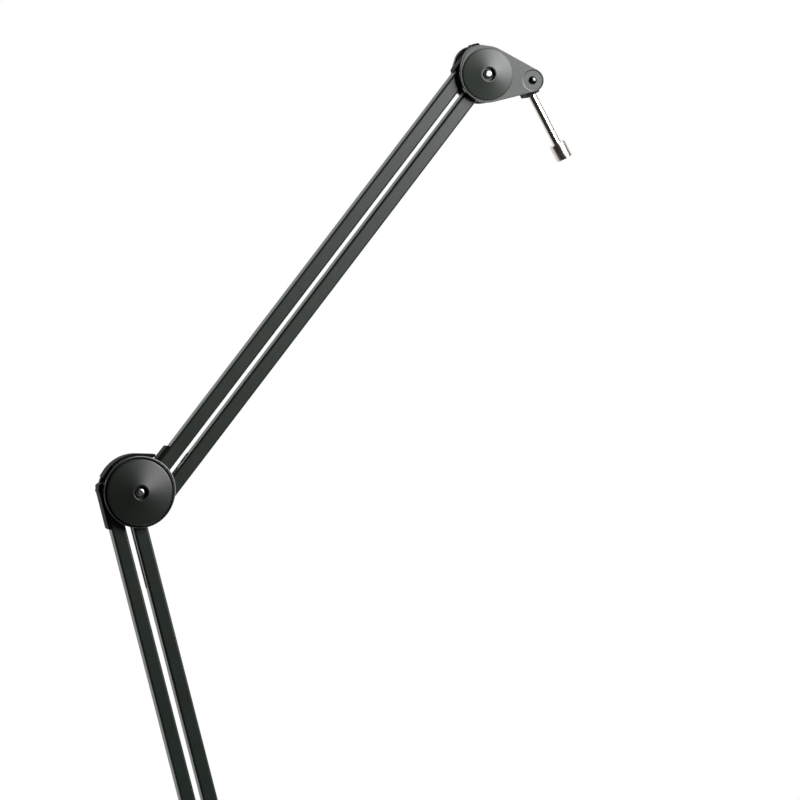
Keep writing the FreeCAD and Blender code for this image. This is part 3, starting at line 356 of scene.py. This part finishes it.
AXIS_GAP, ELBOW_RADIUS = 0.02 * MM, 25.3 * MM
GROOVE_IN, GROOVE_OUT, GROOVE_FLOOR = 23.3 * MM, 24.45 * MM, 1.5 * MM
CHEEK_ROUNDS = np.array([0.005, 2.4, 0.7, 0.12, 0.1, 0.1, 0.1, 0.005]) * MM
# Painted highlight on the rim: a paler band in its outer 0.8 mm of depth, on the upper right, which faces the lamp.
HIGHLIGHT_DEPTH, HIGHLIGHT_WAY, HIGHLIGHT_REACH = 0.8 * MM, np.array([0.77, 0, 0.64]), (0.1 * ELBOW_RADIUS, 0.7 * ELBOW_RADIUS)
elbow_middle = middle_of("elbow_cover_front") * in_plane
# The elbow's two greys are a darker copy of the plates' grey coat: painted shade.
elbow_coat_painted_light = powder_coat("satin_grey_powder_coat_painted_light_right", "#171f1a", "#1c241f", 0.38, 0.2, (
    "#7d807e", (plate_high - HIGHLIGHT_DEPTH, plate_high), elbow_middle, HIGHLIGHT_WAY, HIGHLIGHT_REACH))
plate_thick = plate_high - plate_low
cheek = round_corners(
    [(AXIS_GAP, 0), (ELBOW_RADIUS, 0), (ELBOW_RADIUS, plate_thick), (GROOVE_OUT, plate_thick),
     (GROOVE_OUT, GROOVE_FLOOR), (GROOVE_IN, GROOVE_FLOOR), (GROOVE_IN, plate_thick), (AXIS_GAP, plate_thick)],
    CHEEK_ROUNDS)
# Outside the groove the rim swells by SWELL * exp(-(a / SWELL_SPREAD)^2), where a is the angle from SWELL_ANGLE,
# the side where the upper arm joins.
SWELL, SWELL_SPREAD, SWELL_ANGLE, SWELL_START = 1.3 * MM, math.radians(40), math.radians(30), GROOVE_OUT + 0.15 * MM
swell_way = np.array([math.cos(SWELL_ANGLE), 0, math.sin(SWELL_ANGLE)])
for side, word in ((FRONT, "front"), (BACK, "back")):
    origin = elbow_middle + np.array([0, side * plate_low, 0])
    node = f"elbow_plate_{word}"
    rings = lathe(cheek, origin, (0, side, 0))
    away = (rings - origin) * in_plane
    reach = np.linalg.norm(away, axis=2, keepdims=True)
    turn = np.arccos(np.clip(away / reach @ swell_way, -1, 1))[..., None]
    rings = rings + (reach > SWELL_START) * SWELL * np.exp(-(turn / SWELL_SPREAD) ** 2) * away / reach
    piece(f"{node}_cheek", "elbow", [ring_shell(rings, wrap=True)], elbow_coat_painted_light, "plate_paint", node)

# Covers: shallow cones turned from aluminium, with a sunk eye for their screw, anodised satin black.
# The turning leaves fine rings, so the light lies on them in wedges that run out from the eye.


def turned_anodised(name, colour, roughness, middle):
    """Anodised turned aluminium: rings about a cover's own axis; real feed marks are 0.1 mm, drawn at 0.9 mm."""
    material, tree = blank(name)
    place = add(tree, "ShaderNodeTexCoord")
    centre = add(tree, "ShaderNodeMapping", {"Vector": (place, "Object")}, vector_type="POINT",
                 Location=tuple(-middle))
    # Rings of a wave with the scale s lie 2 pi / (20 s) apart.
    rings = add(tree, "ShaderNodeTexWave", {"Vector": (centre, "Vector")}, wave_type="RINGS", rings_direction="Y",
                Scale=FULL / 20 / (0.9 * MM), Distortion=0.6, Detail=2.0)
    gloss = between(tree, rings, roughness - 0.03, roughness + 0.03)
    bump = add(tree, "ShaderNodeBump", {"Height": (rings, "Fac")}, Strength=0.12, Distance=0.01 * MM)
    shader = add(tree, "ShaderNodeBsdfPrincipled", {"Roughness": (gloss, "Result"), "Normal": (bump, "Normal")},
                 Base_Color=linear(colour), IOR=1.5)
    add(tree, "ShaderNodeOutputMaterial", {"Surface": (shader, "BSDF")})
    return material


RIM_BEVEL, EYE_RADIUS, EYE_LIP, SCREW_HOLE = 0.9 * MM, 4.8 * MM, 1.0 * MM, 1.8 * MM
# Radius, rim height, crown, drop of the rim's bevel, eye floor and eye rounding in mm, and the anodised colour,
# which is darker at the elbow as painted shade.
ELBOW_COVER, SMALL_COVER = (23.4, 1.6, 5.4, 0.2, 2.0, 0.7, "#0d140e"), (18.7, 1.1, 3.9, 0.1, 0.8, 0.4, "#1a221c")
cover_size = {"elbow": ELBOW_COVER, "head": SMALL_COVER, "base": SMALL_COVER}
middle_at = {"elbow": elbow_middle, "head": head_middle, "base": base_middle}
for knuckle, (*sizes, anodise_and_shade) in cover_size.items():
    radius, rim, crown, drop, eye_floor, eye_round = np.array(sizes) * MM
    finish = turned_anodised(f"anodised_turned_aluminium_{knuckle}", anodise_and_shade, 0.43, middle_at[knuckle])
    fall = (crown - rim) / (radius - EYE_RADIUS - EYE_LIP)
    profile = round_corners(
        [(SCREW_HOLE, 0), (radius, 0), (radius, rim - drop), (radius - RIM_BEVEL, rim + fall * RIM_BEVEL),
         (EYE_RADIUS + EYE_LIP, crown), (EYE_RADIUS, crown), (EYE_RADIUS, eye_floor), (SCREW_HOLE, eye_floor)],
        np.array([0.05 * MM, 0.05 * MM, 0.25 * MM, 0.3 * MM, 0.15 * MM, eye_round, 0.2 * MM, 0.05 * MM]))
    for side, word in ((FRONT, "front"), (BACK, "back")):
        origin = middle_at[knuckle] + np.array([0, side * plate_high, 0])
        node = f"{knuckle}_cover_{word}"
        piece(f"{node}_cone", knuckle, [ring_shell(lathe(profile, origin, (0, side, 0)), wrap=True)], finish,
              "cover_paint", node)

# Cover screws: button heads of zinc-plated steel with a six-sided socket, sunk in the eyes of the covers.
# Zinc has a cool, slightly cloudy shine, so a head goes from white to dark grey as it meets or misses the light.


def plated_screw_steel(name, colour, roughness):
    """Plated or oil-blackened screw steel: metal whose shine varies in patches about 2 mm across."""
    material, tree = blank(name)
    place = add(tree, "ShaderNodeTexCoord")
    patch = add(tree, "ShaderNodeTexNoise", {"Vector": (place, "Object")}, Scale=1 / (2 * MM), Detail=3.0)
    gloss = between(tree, patch, roughness - 0.05, roughness + 0.07)
    shader = add(tree, "ShaderNodeBsdfPrincipled", {"Roughness": (gloss, "Result")}, Metallic=1.0,
                 Base_Color=linear(colour))
    add(tree, "ShaderNodeOutputMaterial", {"Surface": (shader, "BSDF")})
    return material


screw_zinc = plated_screw_steel("zinc_plated_steel", "#a0a19f", 0.28)
bolt_black = plated_screw_steel("oil_blackened_steel", "#454544", 0.13)
SHANK, HEAD, SOCKET, SOCKET_RIM, SCREW_BITE = 1.75 * MM, 3.3 * MM, 1.4 * MM, 0.3 * MM, 2.0 * MM
HEAD_HEIGHT, CROWN_ANGLE = 1.9 * MM, math.radians(62)
HEAD_EDGE, SOCKET_FLOOR = 0.35 * HEAD_HEIGHT, 0.7 * HEAD_HEIGHT


def button_screw(origin, side, bite):
    """Shank, domed head and six-sided socket, from the shank's end up to the socket's floor. On the dome, at an angle
    a up to the crown angle c, the radius falls with (1 - cos a) / (1 - cos c) and the height rises with
    sin a / sin c."""
    dome = np.linspace(0, CROWN_ANGLE, 10)
    crown = np.stack([HEAD - (HEAD - SOCKET - SOCKET_RIM) * (1 - np.cos(dome)) / (1 - math.cos(CROWN_ANGLE)),
                      HEAD_EDGE + (HEAD_HEIGHT - HEAD_EDGE) * np.sin(dome) / math.sin(CROWN_ANGLE)], 1)
    profile = np.concatenate([
        [(AXIS_GAP, -bite), (SHANK, -bite), (SHANK, 0), (HEAD, 0)], crown,
        [(SOCKET, HEAD_HEIGHT), (SOCKET, SOCKET_FLOOR), (AXIS_GAP, SOCKET_FLOOR)]])
    six = np.concatenate([np.zeros(len(profile) - 3), [1, 1, 0]])
    return ring_shell(lathe(profile, origin, (0, side, 0), six))


for knuckle, middle in middle_at.items():
    eye_floor = cover_size[knuckle][4] * MM
    heads = [button_screw(middle + np.array([0, side * (plate_high + eye_floor), 0]), side, eye_floor + SCREW_BITE)
             for side in (FRONT, BACK)]
    piece(f"{knuckle}_button_screws", knuckle, heads, screw_zinc, "steel", f"{knuckle}_cover_screws")

# Base rivets: two round-headed steel rivets that hold the plates of the base on the spigot's saddle.
# A cupped tool sets them, which leaves low bright domes on both plates.
RIVET_HEAD, RIVET_DOME, NEAR_POLE = 2.3 * MM, 0.8 * MM, math.radians(89)
rivet_low, rivet_high = (np.array(corner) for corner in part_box("base_rivets"))
rivet = (rivet_high[2] - rivet_low[2]) / 2
dome = np.linspace(0, NEAR_POLE, 9)
set_head = np.column_stack([RIVET_HEAD * np.cos(dome), plate_high + RIVET_DOME * np.sin(dome)])
rivet_profile = np.concatenate([set_head[::-1] * [1, -1], [(rivet, -plate_high), (rivet, plate_high)], set_head])
rivet_places = rivet_low[0] + rivet, rivet_high[0] - rivet
rivet_middles = [np.array([place, 0, rivet_low[2] + rivet]) for place in rivet_places]
piece("base_rivets_domed", "base", [ring_shell(lathe(rivet_profile, middle, (0, 1, 0))) for middle in rivet_middles],
      bright_steel, "steel", "base_rivets")

# End caps: moulded black rubber that closes the mouths of the outer channels next to the knuckles.
# They stand a little proud, wrap round the channel's end with two ribs, and have the soft edges of a moulding.
# The guard between the elbow's plates is of the same rubber.
cap_black = moulded_polymer("matt_black_moulded_rubber", "#0a0d0b", 0.58, 0.07, 1.4, 0.03)
dress(cap_black, "elbow_guard")
CAP_IN, CAP_THICK, CAP_HALF_DEPTH, CAP_ROUND, CAP_CORNER = 5.2 * MM, 2.0 * MM, 6.5 * MM, 1.3 * MM, 1.9 * MM
PLUG_START, PLUG_LOW, PLUG_DEPTH, SOFT_EDGE = 4.0 * MM, 2.6 * MM, 4.0 * MM, 0.1 * MM
RIB_HEIGHT, RIB_HALF, RIB_RUN, LIP_SHARE = 0.4 * MM, 0.9 * MM, 4.0 * MM, 0.05
# Length, wrap and places of the ribs in degrees round the pivot, and taper.
LOWER_CAP = 28.3 * MM, 58, (2, 32), 0
ELBOW_CAP = 29.1 * MM, 40, (2, 32), 0
HEAD_CAP = 22.0 * MM, 54, (12, 45), 0.3


def arm_axes(foot, far):
    """Unit vectors along an arm and out of its mouth, from two pivots of one channel."""
    along = (far - foot) / np.linalg.norm(far - foot)
    return along, np.array([-along[2], 0, along[0]])


lower_axes = arm_axes(joint_at["lower_arm_tilt"], joint_at["elbow_level"])
upper_axes = arm_axes(joint_at["upper_arm_tilt"], joint_at["head_level"])
arm_length = np.linalg.norm(joint_at["elbow_level"] - joint_at["lower_arm_tilt"])


def cap_shells(length, wrap, ribs, taper, origin, facing, out):
    """A rounded section (depth y, height h) carried along the mouth to the pivot and round it by the wrap angle:
    point = origin + foot(s) + h * normal(s) + y * Y. The height falls on a quarter circle at both ends and by the
    taper's share over the wrap, and a rib at s = r adds rib_height * sqrt(1 - ((s - r) / rib_half)^2). Rows lie
    closer over the last stretch before the pivot, where a rib may reach. The second shell is the plug in the mouth."""
    fall = CAP_CORNER * np.sin(np.linspace(np.pi / 2, 0, 9))
    run = np.concatenate([length - CAP_CORNER + fall, np.linspace(length - CAP_CORNER, RIB_RUN, 12)[1:],
                          np.linspace(RIB_RUN, 0, 30)[1:-1]])
    turn = np.radians(np.linspace(0, wrap, 90))
    normal = np.concatenate([np.tile([0.0, 1.0], (len(run), 1)), np.stack([-np.sin(turn), np.cos(turn)], 1)])
    foot = CAP_IN * normal + np.concatenate([np.stack([run, 0 * run], 1), np.zeros((len(turn), 2))])
    way = np.concatenate([-run, (CAP_IN + CAP_THICK) * turn])
    share = np.ones(len(way))
    last = np.clip((turn - turn[-1] + CAP_CORNER / CAP_IN) / (CAP_CORNER / CAP_IN), 0, 1)
    share[len(run):] = (1 - taper * turn / turn[-1]) * (LIP_SHARE + (1 - LIP_SHARE) * np.sqrt(1 - last ** 2))
    share[:len(fall)] = 1 - (CAP_CORNER - np.sqrt(np.maximum(CAP_CORNER ** 2 - fall ** 2, 0))) / CAP_THICK
    reach = (way[:, None] - (CAP_IN + CAP_THICK) * np.radians(ribs)[None]) / RIB_HALF
    rib = RIB_HEIGHT * np.sqrt(np.maximum(1 - reach ** 2, 0)).sum(1)
    section = round_corners([(-CAP_HALF_DEPTH, 0), (CAP_HALF_DEPTH, 0), (CAP_HALF_DEPTH, CAP_THICK),
                             (-CAP_HALF_DEPTH, CAP_THICK)], [SOFT_EDGE, SOFT_EDGE, CAP_ROUND, CAP_ROUND])
    height = section[None, :, 1] * (share + rib / CAP_THICK)[:, None]
    flat = foot[:, None] + height[..., None] * normal[:, None]
    depth = np.broadcast_to(section[None, :, :1], (*height.shape, 1)) * np.array([0, 1.0, 0])
    plug_end = length - CAP_CORNER
    plug = np.array([(PLUG_START, PLUG_LOW), (plug_end, PLUG_LOW), (plug_end, CAP_IN), (PLUG_START, CAP_IN)])
    return [ring_shell(origin + flat[..., :1] * facing + flat[..., 1:] * out + depth),
            slab(plug, -PLUG_DEPTH, PLUG_DEPTH, SOFT_EDGE, origin, facing, out)]


for arm, (along, out), ends in (("lower", lower_axes, (("base", LOWER_CAP), ("elbow", LOWER_CAP))),
                                ("upper", upper_axes, (("elbow", ELBOW_CAP), ("head", HEAD_CAP)))):
    foot = joint_at[f"{arm}_outer_follow"]
    for (end, cap), origin, facing in zip(ends, (foot, foot + along * arm_length), (along, -along)):
        node = f"{arm}_outer_cap_{end}"
        piece(f"{node}_moulding", f"{arm}_outer", cap_shells(*cap, origin, facing, out), cap_black, "cap_plastic", node)

# Mouth strips: thin covers let into the mouths of the inner channels next to the elbow, flush with their edges.
# Each is a coated steel leaf with a black rubber bead along its back; the upper one ends in a rubber block.
LEAF, BEAD_PROUD, LEAF_BACK, LEAF_SPLIT, LEAF_EDGE = 0.8 * MM, 0.3 * MM, 4.0 * MM, 0.6 * MM, 0.15 * MM
# Distances from the pivot at the elbow, along the arm.
PIVOT_GAP, LOWER_REACH, BLOCK_END, BEAD_START, UPPER_REACH = 5.0 * MM, 67.0 * MM, 31.0 * MM, 36.0 * MM, 44.0 * MM


def mouth_bar(origin, along, out, start, end, low, high, proud):
    """A bar in a channel's mouth, from start to end along the arm and from low to high in depth."""
    top, floor = CAP_IN + proud, CAP_IN - LEAF
    corners = np.array([(start, floor), (end, floor), (end, top), (start, top)])
    return slab(corners, low, high, LEAF_EDGE, origin, along, out)


lower_start = arm_length - LOWER_REACH
for arm, axes, block_start, leaf_start, bead_start, end in (
        ("lower", lower_axes, lower_start, lower_start, lower_start, arm_length - PIVOT_GAP),
        ("upper", upper_axes, PIVOT_GAP, BLOCK_END, BEAD_START, UPPER_REACH)):
    origin = joint_at[f"{arm}_arm_tilt"]
    leaf = mouth_bar(origin, *axes, leaf_start, end, -LEAF_BACK, LEAF_SPLIT, 0.0)
    beads = [mouth_bar(origin, *axes, bead_start, end, LEAF_SPLIT, LEAF_BACK, BEAD_PROUD)]
    if block_start < leaf_start:
        beads.append(mouth_bar(origin, *axes, block_start, leaf_start, -LEAF_BACK, LEAF_BACK, 0.0))
    piece(f"{arm}_inner_strip_leaf", f"{arm}_inner", [leaf], channel_coat, "channel_paint", f"{arm}_inner_strip")
    piece(f"{arm}_inner_strip_bead", f"{arm}_inner", beads, cap_black, "cap_plastic", f"{arm}_inner_strip")

# Balance springs: drawn spring-steel wire, coiled and oiled, one inside each inner channel.
# Each hangs between its anchor post and the yoke of its pull wire.
COILS, COIL_RADIUS, WIRE, PITCH, COIL_START, COIL_SINK = 16, 2.5 * MM, 0.45 * MM, 3.2 * MM, 92 * MM, 0.4 * MM
COIL_STEPS, WIRE_SIDES = 48, 12


def coil(foot, along, out):
    """Tube of radius w round a helix: p(t) = foot + (start + pitch*t)*along + R*(cos Y + sin out), with the tube's
    ring in the helix's own normal and binormal."""
    turn = np.linspace(0, FULL * COILS, COIL_STEPS * COILS)
    depth = np.array([0, 1.0, 0])
    normal = np.cos(turn)[:, None] * depth + np.sin(turn)[:, None] * out
    way = PITCH / FULL * along + COIL_RADIUS * (np.cos(turn)[:, None] * out - np.sin(turn)[:, None] * depth)
    way /= np.linalg.norm(way, axis=1, keepdims=True)
    centre = foot - COIL_SINK * out + (COIL_START + PITCH * turn / FULL)[:, None] * along + COIL_RADIUS * normal
    round_wire = np.linspace(0, FULL, WIRE_SIDES, endpoint=False)[None, :, None]
    ring = np.cos(round_wire) * normal[:, None] + np.sin(round_wire) * np.cross(way, normal)[:, None]
    return ring_shell(centre[:, None] + WIRE * ring)


spring_steel = drawn_steel("oiled_spring_steel", "#7a7975", "#94938f", 0.3)
for arm, axes in (("lower", lower_axes), ("upper", upper_axes)):
    wound = coil(joint_at[f"{arm}_arm_tilt"], *axes)
    piece(f"{arm}_spring_coil", f"{arm}_inner", [wound], spring_steel, "spring_steel", f"{arm}_spring")

# Swivel: the end bolt through the head's small end, its flat washers, its nut, and the block that carries the rod.
# The washers have the head's grey coat, and the front one is sunk in its pocket. Bolt and nut are blackened steel,
# and the block is a rounded bar end of glass-filled nylon.
WASHER, WASHER_SINK, WASHER_FOOT = 6.95 * MM, 0.28 * MM, 0.6 * MM
BOLT_HOLE, BOLT_SHANK, BOLT_DOME, BOLT_HEAD = 2.55 * MM, 2.5 * MM, 2.9 * MM, 1.5 * MM
BOLT_EDGE = 0.2 * BOLT_HEAD


def sunk_washer(side, top):
    """A flat ring in the pocket of the head's small end, on one side, up to a height above the plate's face."""
    profile = round_corners([(BOLT_HOLE, -WASHER_FOOT), (WASHER, -WASHER_FOOT), (WASHER, top), (BOLT_HOLE, top)],
                            np.array([0.05, 0.05, 0.1, 0.05]) * MM)
    return ring_shell(lathe(profile, tip_middle + np.array([0, side * plate_high, 0]), (0, side, 0)), wrap=True)


nut_inside, nut_outside = (corner.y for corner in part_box("swivel_nut"))
washers = [sunk_washer(FRONT, -WASHER_SINK), sunk_washer(BACK, nut_inside - plate_high)]
piece("swivel_washers_flat", "head", washers, plate_coat, "cover_paint", "swivel_washers")
dress(moulded_polymer("glass_filled_black_nylon", "#080a09", 0.6, 0.12, 1.4, 0.03), "swivel_block")
bolt_seat = plate_high - WASHER_SINK
bolt_end = bolt_seat + nut_outside
dome = np.linspace(0, NEAR_POLE, 14)
bolt_profile = np.concatenate([
    [(AXIS_GAP, -bolt_end), (BOLT_SHANK, -bolt_end), (BOLT_SHANK, 0), (BOLT_DOME, 0)],
    np.column_stack([BOLT_DOME * np.cos(dome), BOLT_EDGE + (BOLT_HEAD - BOLT_EDGE) * np.sin(dome)])])
bolt = ring_shell(lathe(bolt_profile, tip_middle + np.array([0, FRONT * bolt_seat, 0]), (0, FRONT, 0)))
piece("swivel_bolt_button", "head", [bolt], bolt_black, "black_steel", "swivel_bolt")
dress(bolt_black, "swivel_nut")

# Rod and end sleeve: steel bar with bright nickel-chrome plate, let into the block; the sleeve is tapped inside.
# The plate is a clean mirror with a faint warm cast, and the sleeve is a shade duller than the rod.


def plated(name, colour, roughness):
    """Nickel-chrome plate: a mirror whose roughness drifts a little in 6 mm clouds from handling."""
    material, tree = blank(name)
    place = add(tree, "ShaderNodeTexCoord")
    drift = add(tree, "ShaderNodeTexNoise", {"Vector": (place, "Object")}, Scale=1 / (6 * MM), Detail=2.0)
    gloss = between(tree, drift, roughness * 0.7, roughness * 1.3)
    shader = add(tree, "ShaderNodeBsdfPrincipled", {"Roughness": (gloss, "Result")}, Metallic=1.0,
                 Base_Color=linear(colour))
    add(tree, "ShaderNodeOutputMaterial", {"Surface": (shader, "BSDF")})
    return material


ROD, ROD_START, ROD_CHAMFER, ROD_TENON = 3.2 * MM, 4.0 * MM, 0.2 * MM, 1.0 * MM
SLEEVE, SLEEVE_LENGTH, SLEEVE_FLOOR, SLEEVE_ROUND = 6.1 * MM, 12.0 * MM, 4.5 * MM, 0.4 * MM
BORE, BORE_CHAMFER, THREAD_PITCH, THREAD_DEPTH = 3.97 * MM, 0.6 * MM, 1.5875 * MM, 0.5 * MM
rod_mount = next(mount for mount in frame["record"]["mounts"] if mount["name"] == "mic_end_thread")
rod_axis = np.array(rod_mount["axis"])
sleeve_end = np.array(rod_mount["pos_m"]) + rod_mount["dims"]["length_mm"] / 2 * MM * rod_axis
sleeve_start = sleeve_end - SLEEVE_LENGTH * rod_axis
rod_length = float((sleeve_start - joint_at["mic_swivel"]) @ rod_axis) - ROD_START
rod_profile = np.array([(AXIS_GAP, 0), (ROD - ROD_CHAMFER, 0), (ROD, ROD_CHAMFER), (ROD, rod_length + ROD_TENON),
                        (AXIS_GAP, rod_length + ROD_TENON)])
piece("mic_rod_bar", "mic_end", [ring_shell(lathe(rod_profile, sleeve_start - rod_length * rod_axis, rod_axis))],
      plated("nickel_chrome_plate", "#e4ded6", 0.2), "chrome", "mic_rod")
# The thread is a stack of ridges, BORE - THREAD_DEPTH * |h / THREAD_PITCH mod 1 - 1/2| at the height h.
bore_height = np.linspace(SLEEVE_LENGTH - BORE_CHAMFER, SLEEVE_FLOOR, 60)
thread = BORE - THREAD_DEPTH * np.abs((bore_height / THREAD_PITCH) % 1 - 0.5)
shoulder = SLEEVE - SLEEVE_ROUND
sleeve_profile = np.concatenate([
    [(AXIS_GAP, 0.0)], arc_points((shoulder, SLEEVE_ROUND), SLEEVE_ROUND, -90, 0, 7),
    arc_points((shoulder, SLEEVE_LENGTH - SLEEVE_ROUND), SLEEVE_ROUND, 0, 90, 7),
    [(BORE + BORE_CHAMFER, SLEEVE_LENGTH)], np.column_stack([thread, bore_height]), [(AXIS_GAP, SLEEVE_FLOOR)]])
piece("mic_sleeve_tapped", "mic_end", [ring_shell(lathe(sleeve_profile, sleeve_start, rod_axis))],
      plated("satin_nickel_plate", "#d8d0c6", 0.24), "chrome", "mic_sleeve")

# Studio: a pale floor under the flange that fades out, a white backdrop all round for the camera, one large soft
# panel high on the right, and a dim room in front, which is what the dark faces mirror.
scene = bpy.context.scene
scene.view_settings.view_transform = "Standard"
floor_mesh = bpy.data.meshes.new("pale_floor")
FLOOR_RADIUS, FADE_START, FLOOR_DROP, FLOOR_SIDES = 0.6, 0.1, 0.5 * MM, 96
floor_edge = arc_points((0, 0), FLOOR_RADIUS, 0, 360 - 360 / FLOOR_SIDES, FLOOR_SIDES)
floor_points = np.column_stack([floor_edge, np.full(FLOOR_SIDES, -FLOOR_DROP)])
floor_mesh.from_pydata(floor_points.tolist(), [], [list(range(FLOOR_SIDES))])
floor = bpy.data.objects.new("pale_floor", floor_mesh)
scene.collection.objects.link(floor)
floor_paper, tree = blank("pale_paper_floor")
place = add(tree, "ShaderNodeTexCoord")
reach = add(tree, "ShaderNodeVectorMath", {"Vector": (place, "Object")}, operation="LENGTH")
fade = add(tree, "ShaderNodeMapRange", {"Value": (reach, "Value")}, interpolation_type="SMOOTHSTEP",
           From_Min=FADE_START, From_Max=FLOOR_RADIUS)
paper = add(tree, "ShaderNodeBsdfDiffuse", Color=linear("#f4f4f2"))
clear = add(tree, "ShaderNodeBsdfTransparent")
mixed = add(tree, "ShaderNodeMixShader", {"Fac": (fade, "Result"), 1: (paper, "BSDF"), 2: (clear, "BSDF")})
add(tree, "ShaderNodeOutputMaterial", {"Surface": (mixed, "Shader")})
floor_mesh.materials.append(floor_paper)

world = bpy.data.worlds.new("white_backdrop")
scene.world = world
world.use_nodes = True
tree = world.node_tree
tree.nodes.clear()
place = add(tree, "ShaderNodeTexCoord")
way = add(tree, "ShaderNodeSeparateXYZ", {"Vector": (place, "Generated")})
ROOM_FRONT, ROOM_BACK, ROOM_DIM, ROOM_BRIGHT = -0.2, 0.55, 0.02, 1.0
room = add(tree, "ShaderNodeMapRange", {"Value": (way, "Y")}, interpolation_type="SMOOTHSTEP",
           From_Min=ROOM_FRONT, From_Max=ROOM_BACK, To_Min=ROOM_DIM, To_Max=ROOM_BRIGHT)
ray = add(tree, "ShaderNodeLightPath")
seen = add(tree, "ShaderNodeMath", {0: (room, "Result"), 1: (ray, "Is Camera Ray")}, operation="MAXIMUM")
glow = add(tree, "ShaderNodeBackground", {"Strength": (seen, "Value")}, Color=(1, 1, 1, 1))
add(tree, "ShaderNodeOutputWorld", {"Surface": (glow, "Background")})

KEY_PLACE, KEY_TARGET, KEY_SIZE, KEY_POWER = Vector((0.9, -1.0, 1.12)), Vector((0.1, 0.0, 0.6)), 0.85, 38.0
lamp = bpy.data.lights.new("key_panel", "AREA")
lamp.shape, lamp.size, lamp.size_y, lamp.energy = "RECTANGLE", KEY_SIZE, KEY_SIZE, KEY_POWER
key = bpy.data.objects.new("key_panel", lamp)
scene.collection.objects.link(key)
key.location = KEY_PLACE
key.rotation_euler = (KEY_TARGET - KEY_PLACE).to_track_quat("-Z", "Y").to_euler()

# Camera: a long lens from the left of the arm's front, a touch above level.
AZIMUTH, ELEVATION, DISTANCE = math.radians(-15.68), math.radians(1.478), 3.1822
TARGET = np.array([0.107484, 0.0, 0.522085])
camera = bpy.data.cameras.new("camera")
camera.lens, camera.sensor_width, camera.clip_end = 200.0, 36.0, 50.0
eye = bpy.data.objects.new("camera", camera)
scene.collection.objects.link(eye)
stand = np.array([math.sin(AZIMUTH) * math.cos(ELEVATION), -math.cos(AZIMUTH) * math.cos(ELEVATION),
                  math.sin(ELEVATION)])
eye.location = TARGET + DISTANCE * stand
eye.rotation_euler = (math.pi / 2 - ELEVATION, 0, AZIMUTH)
scene.camera = eye
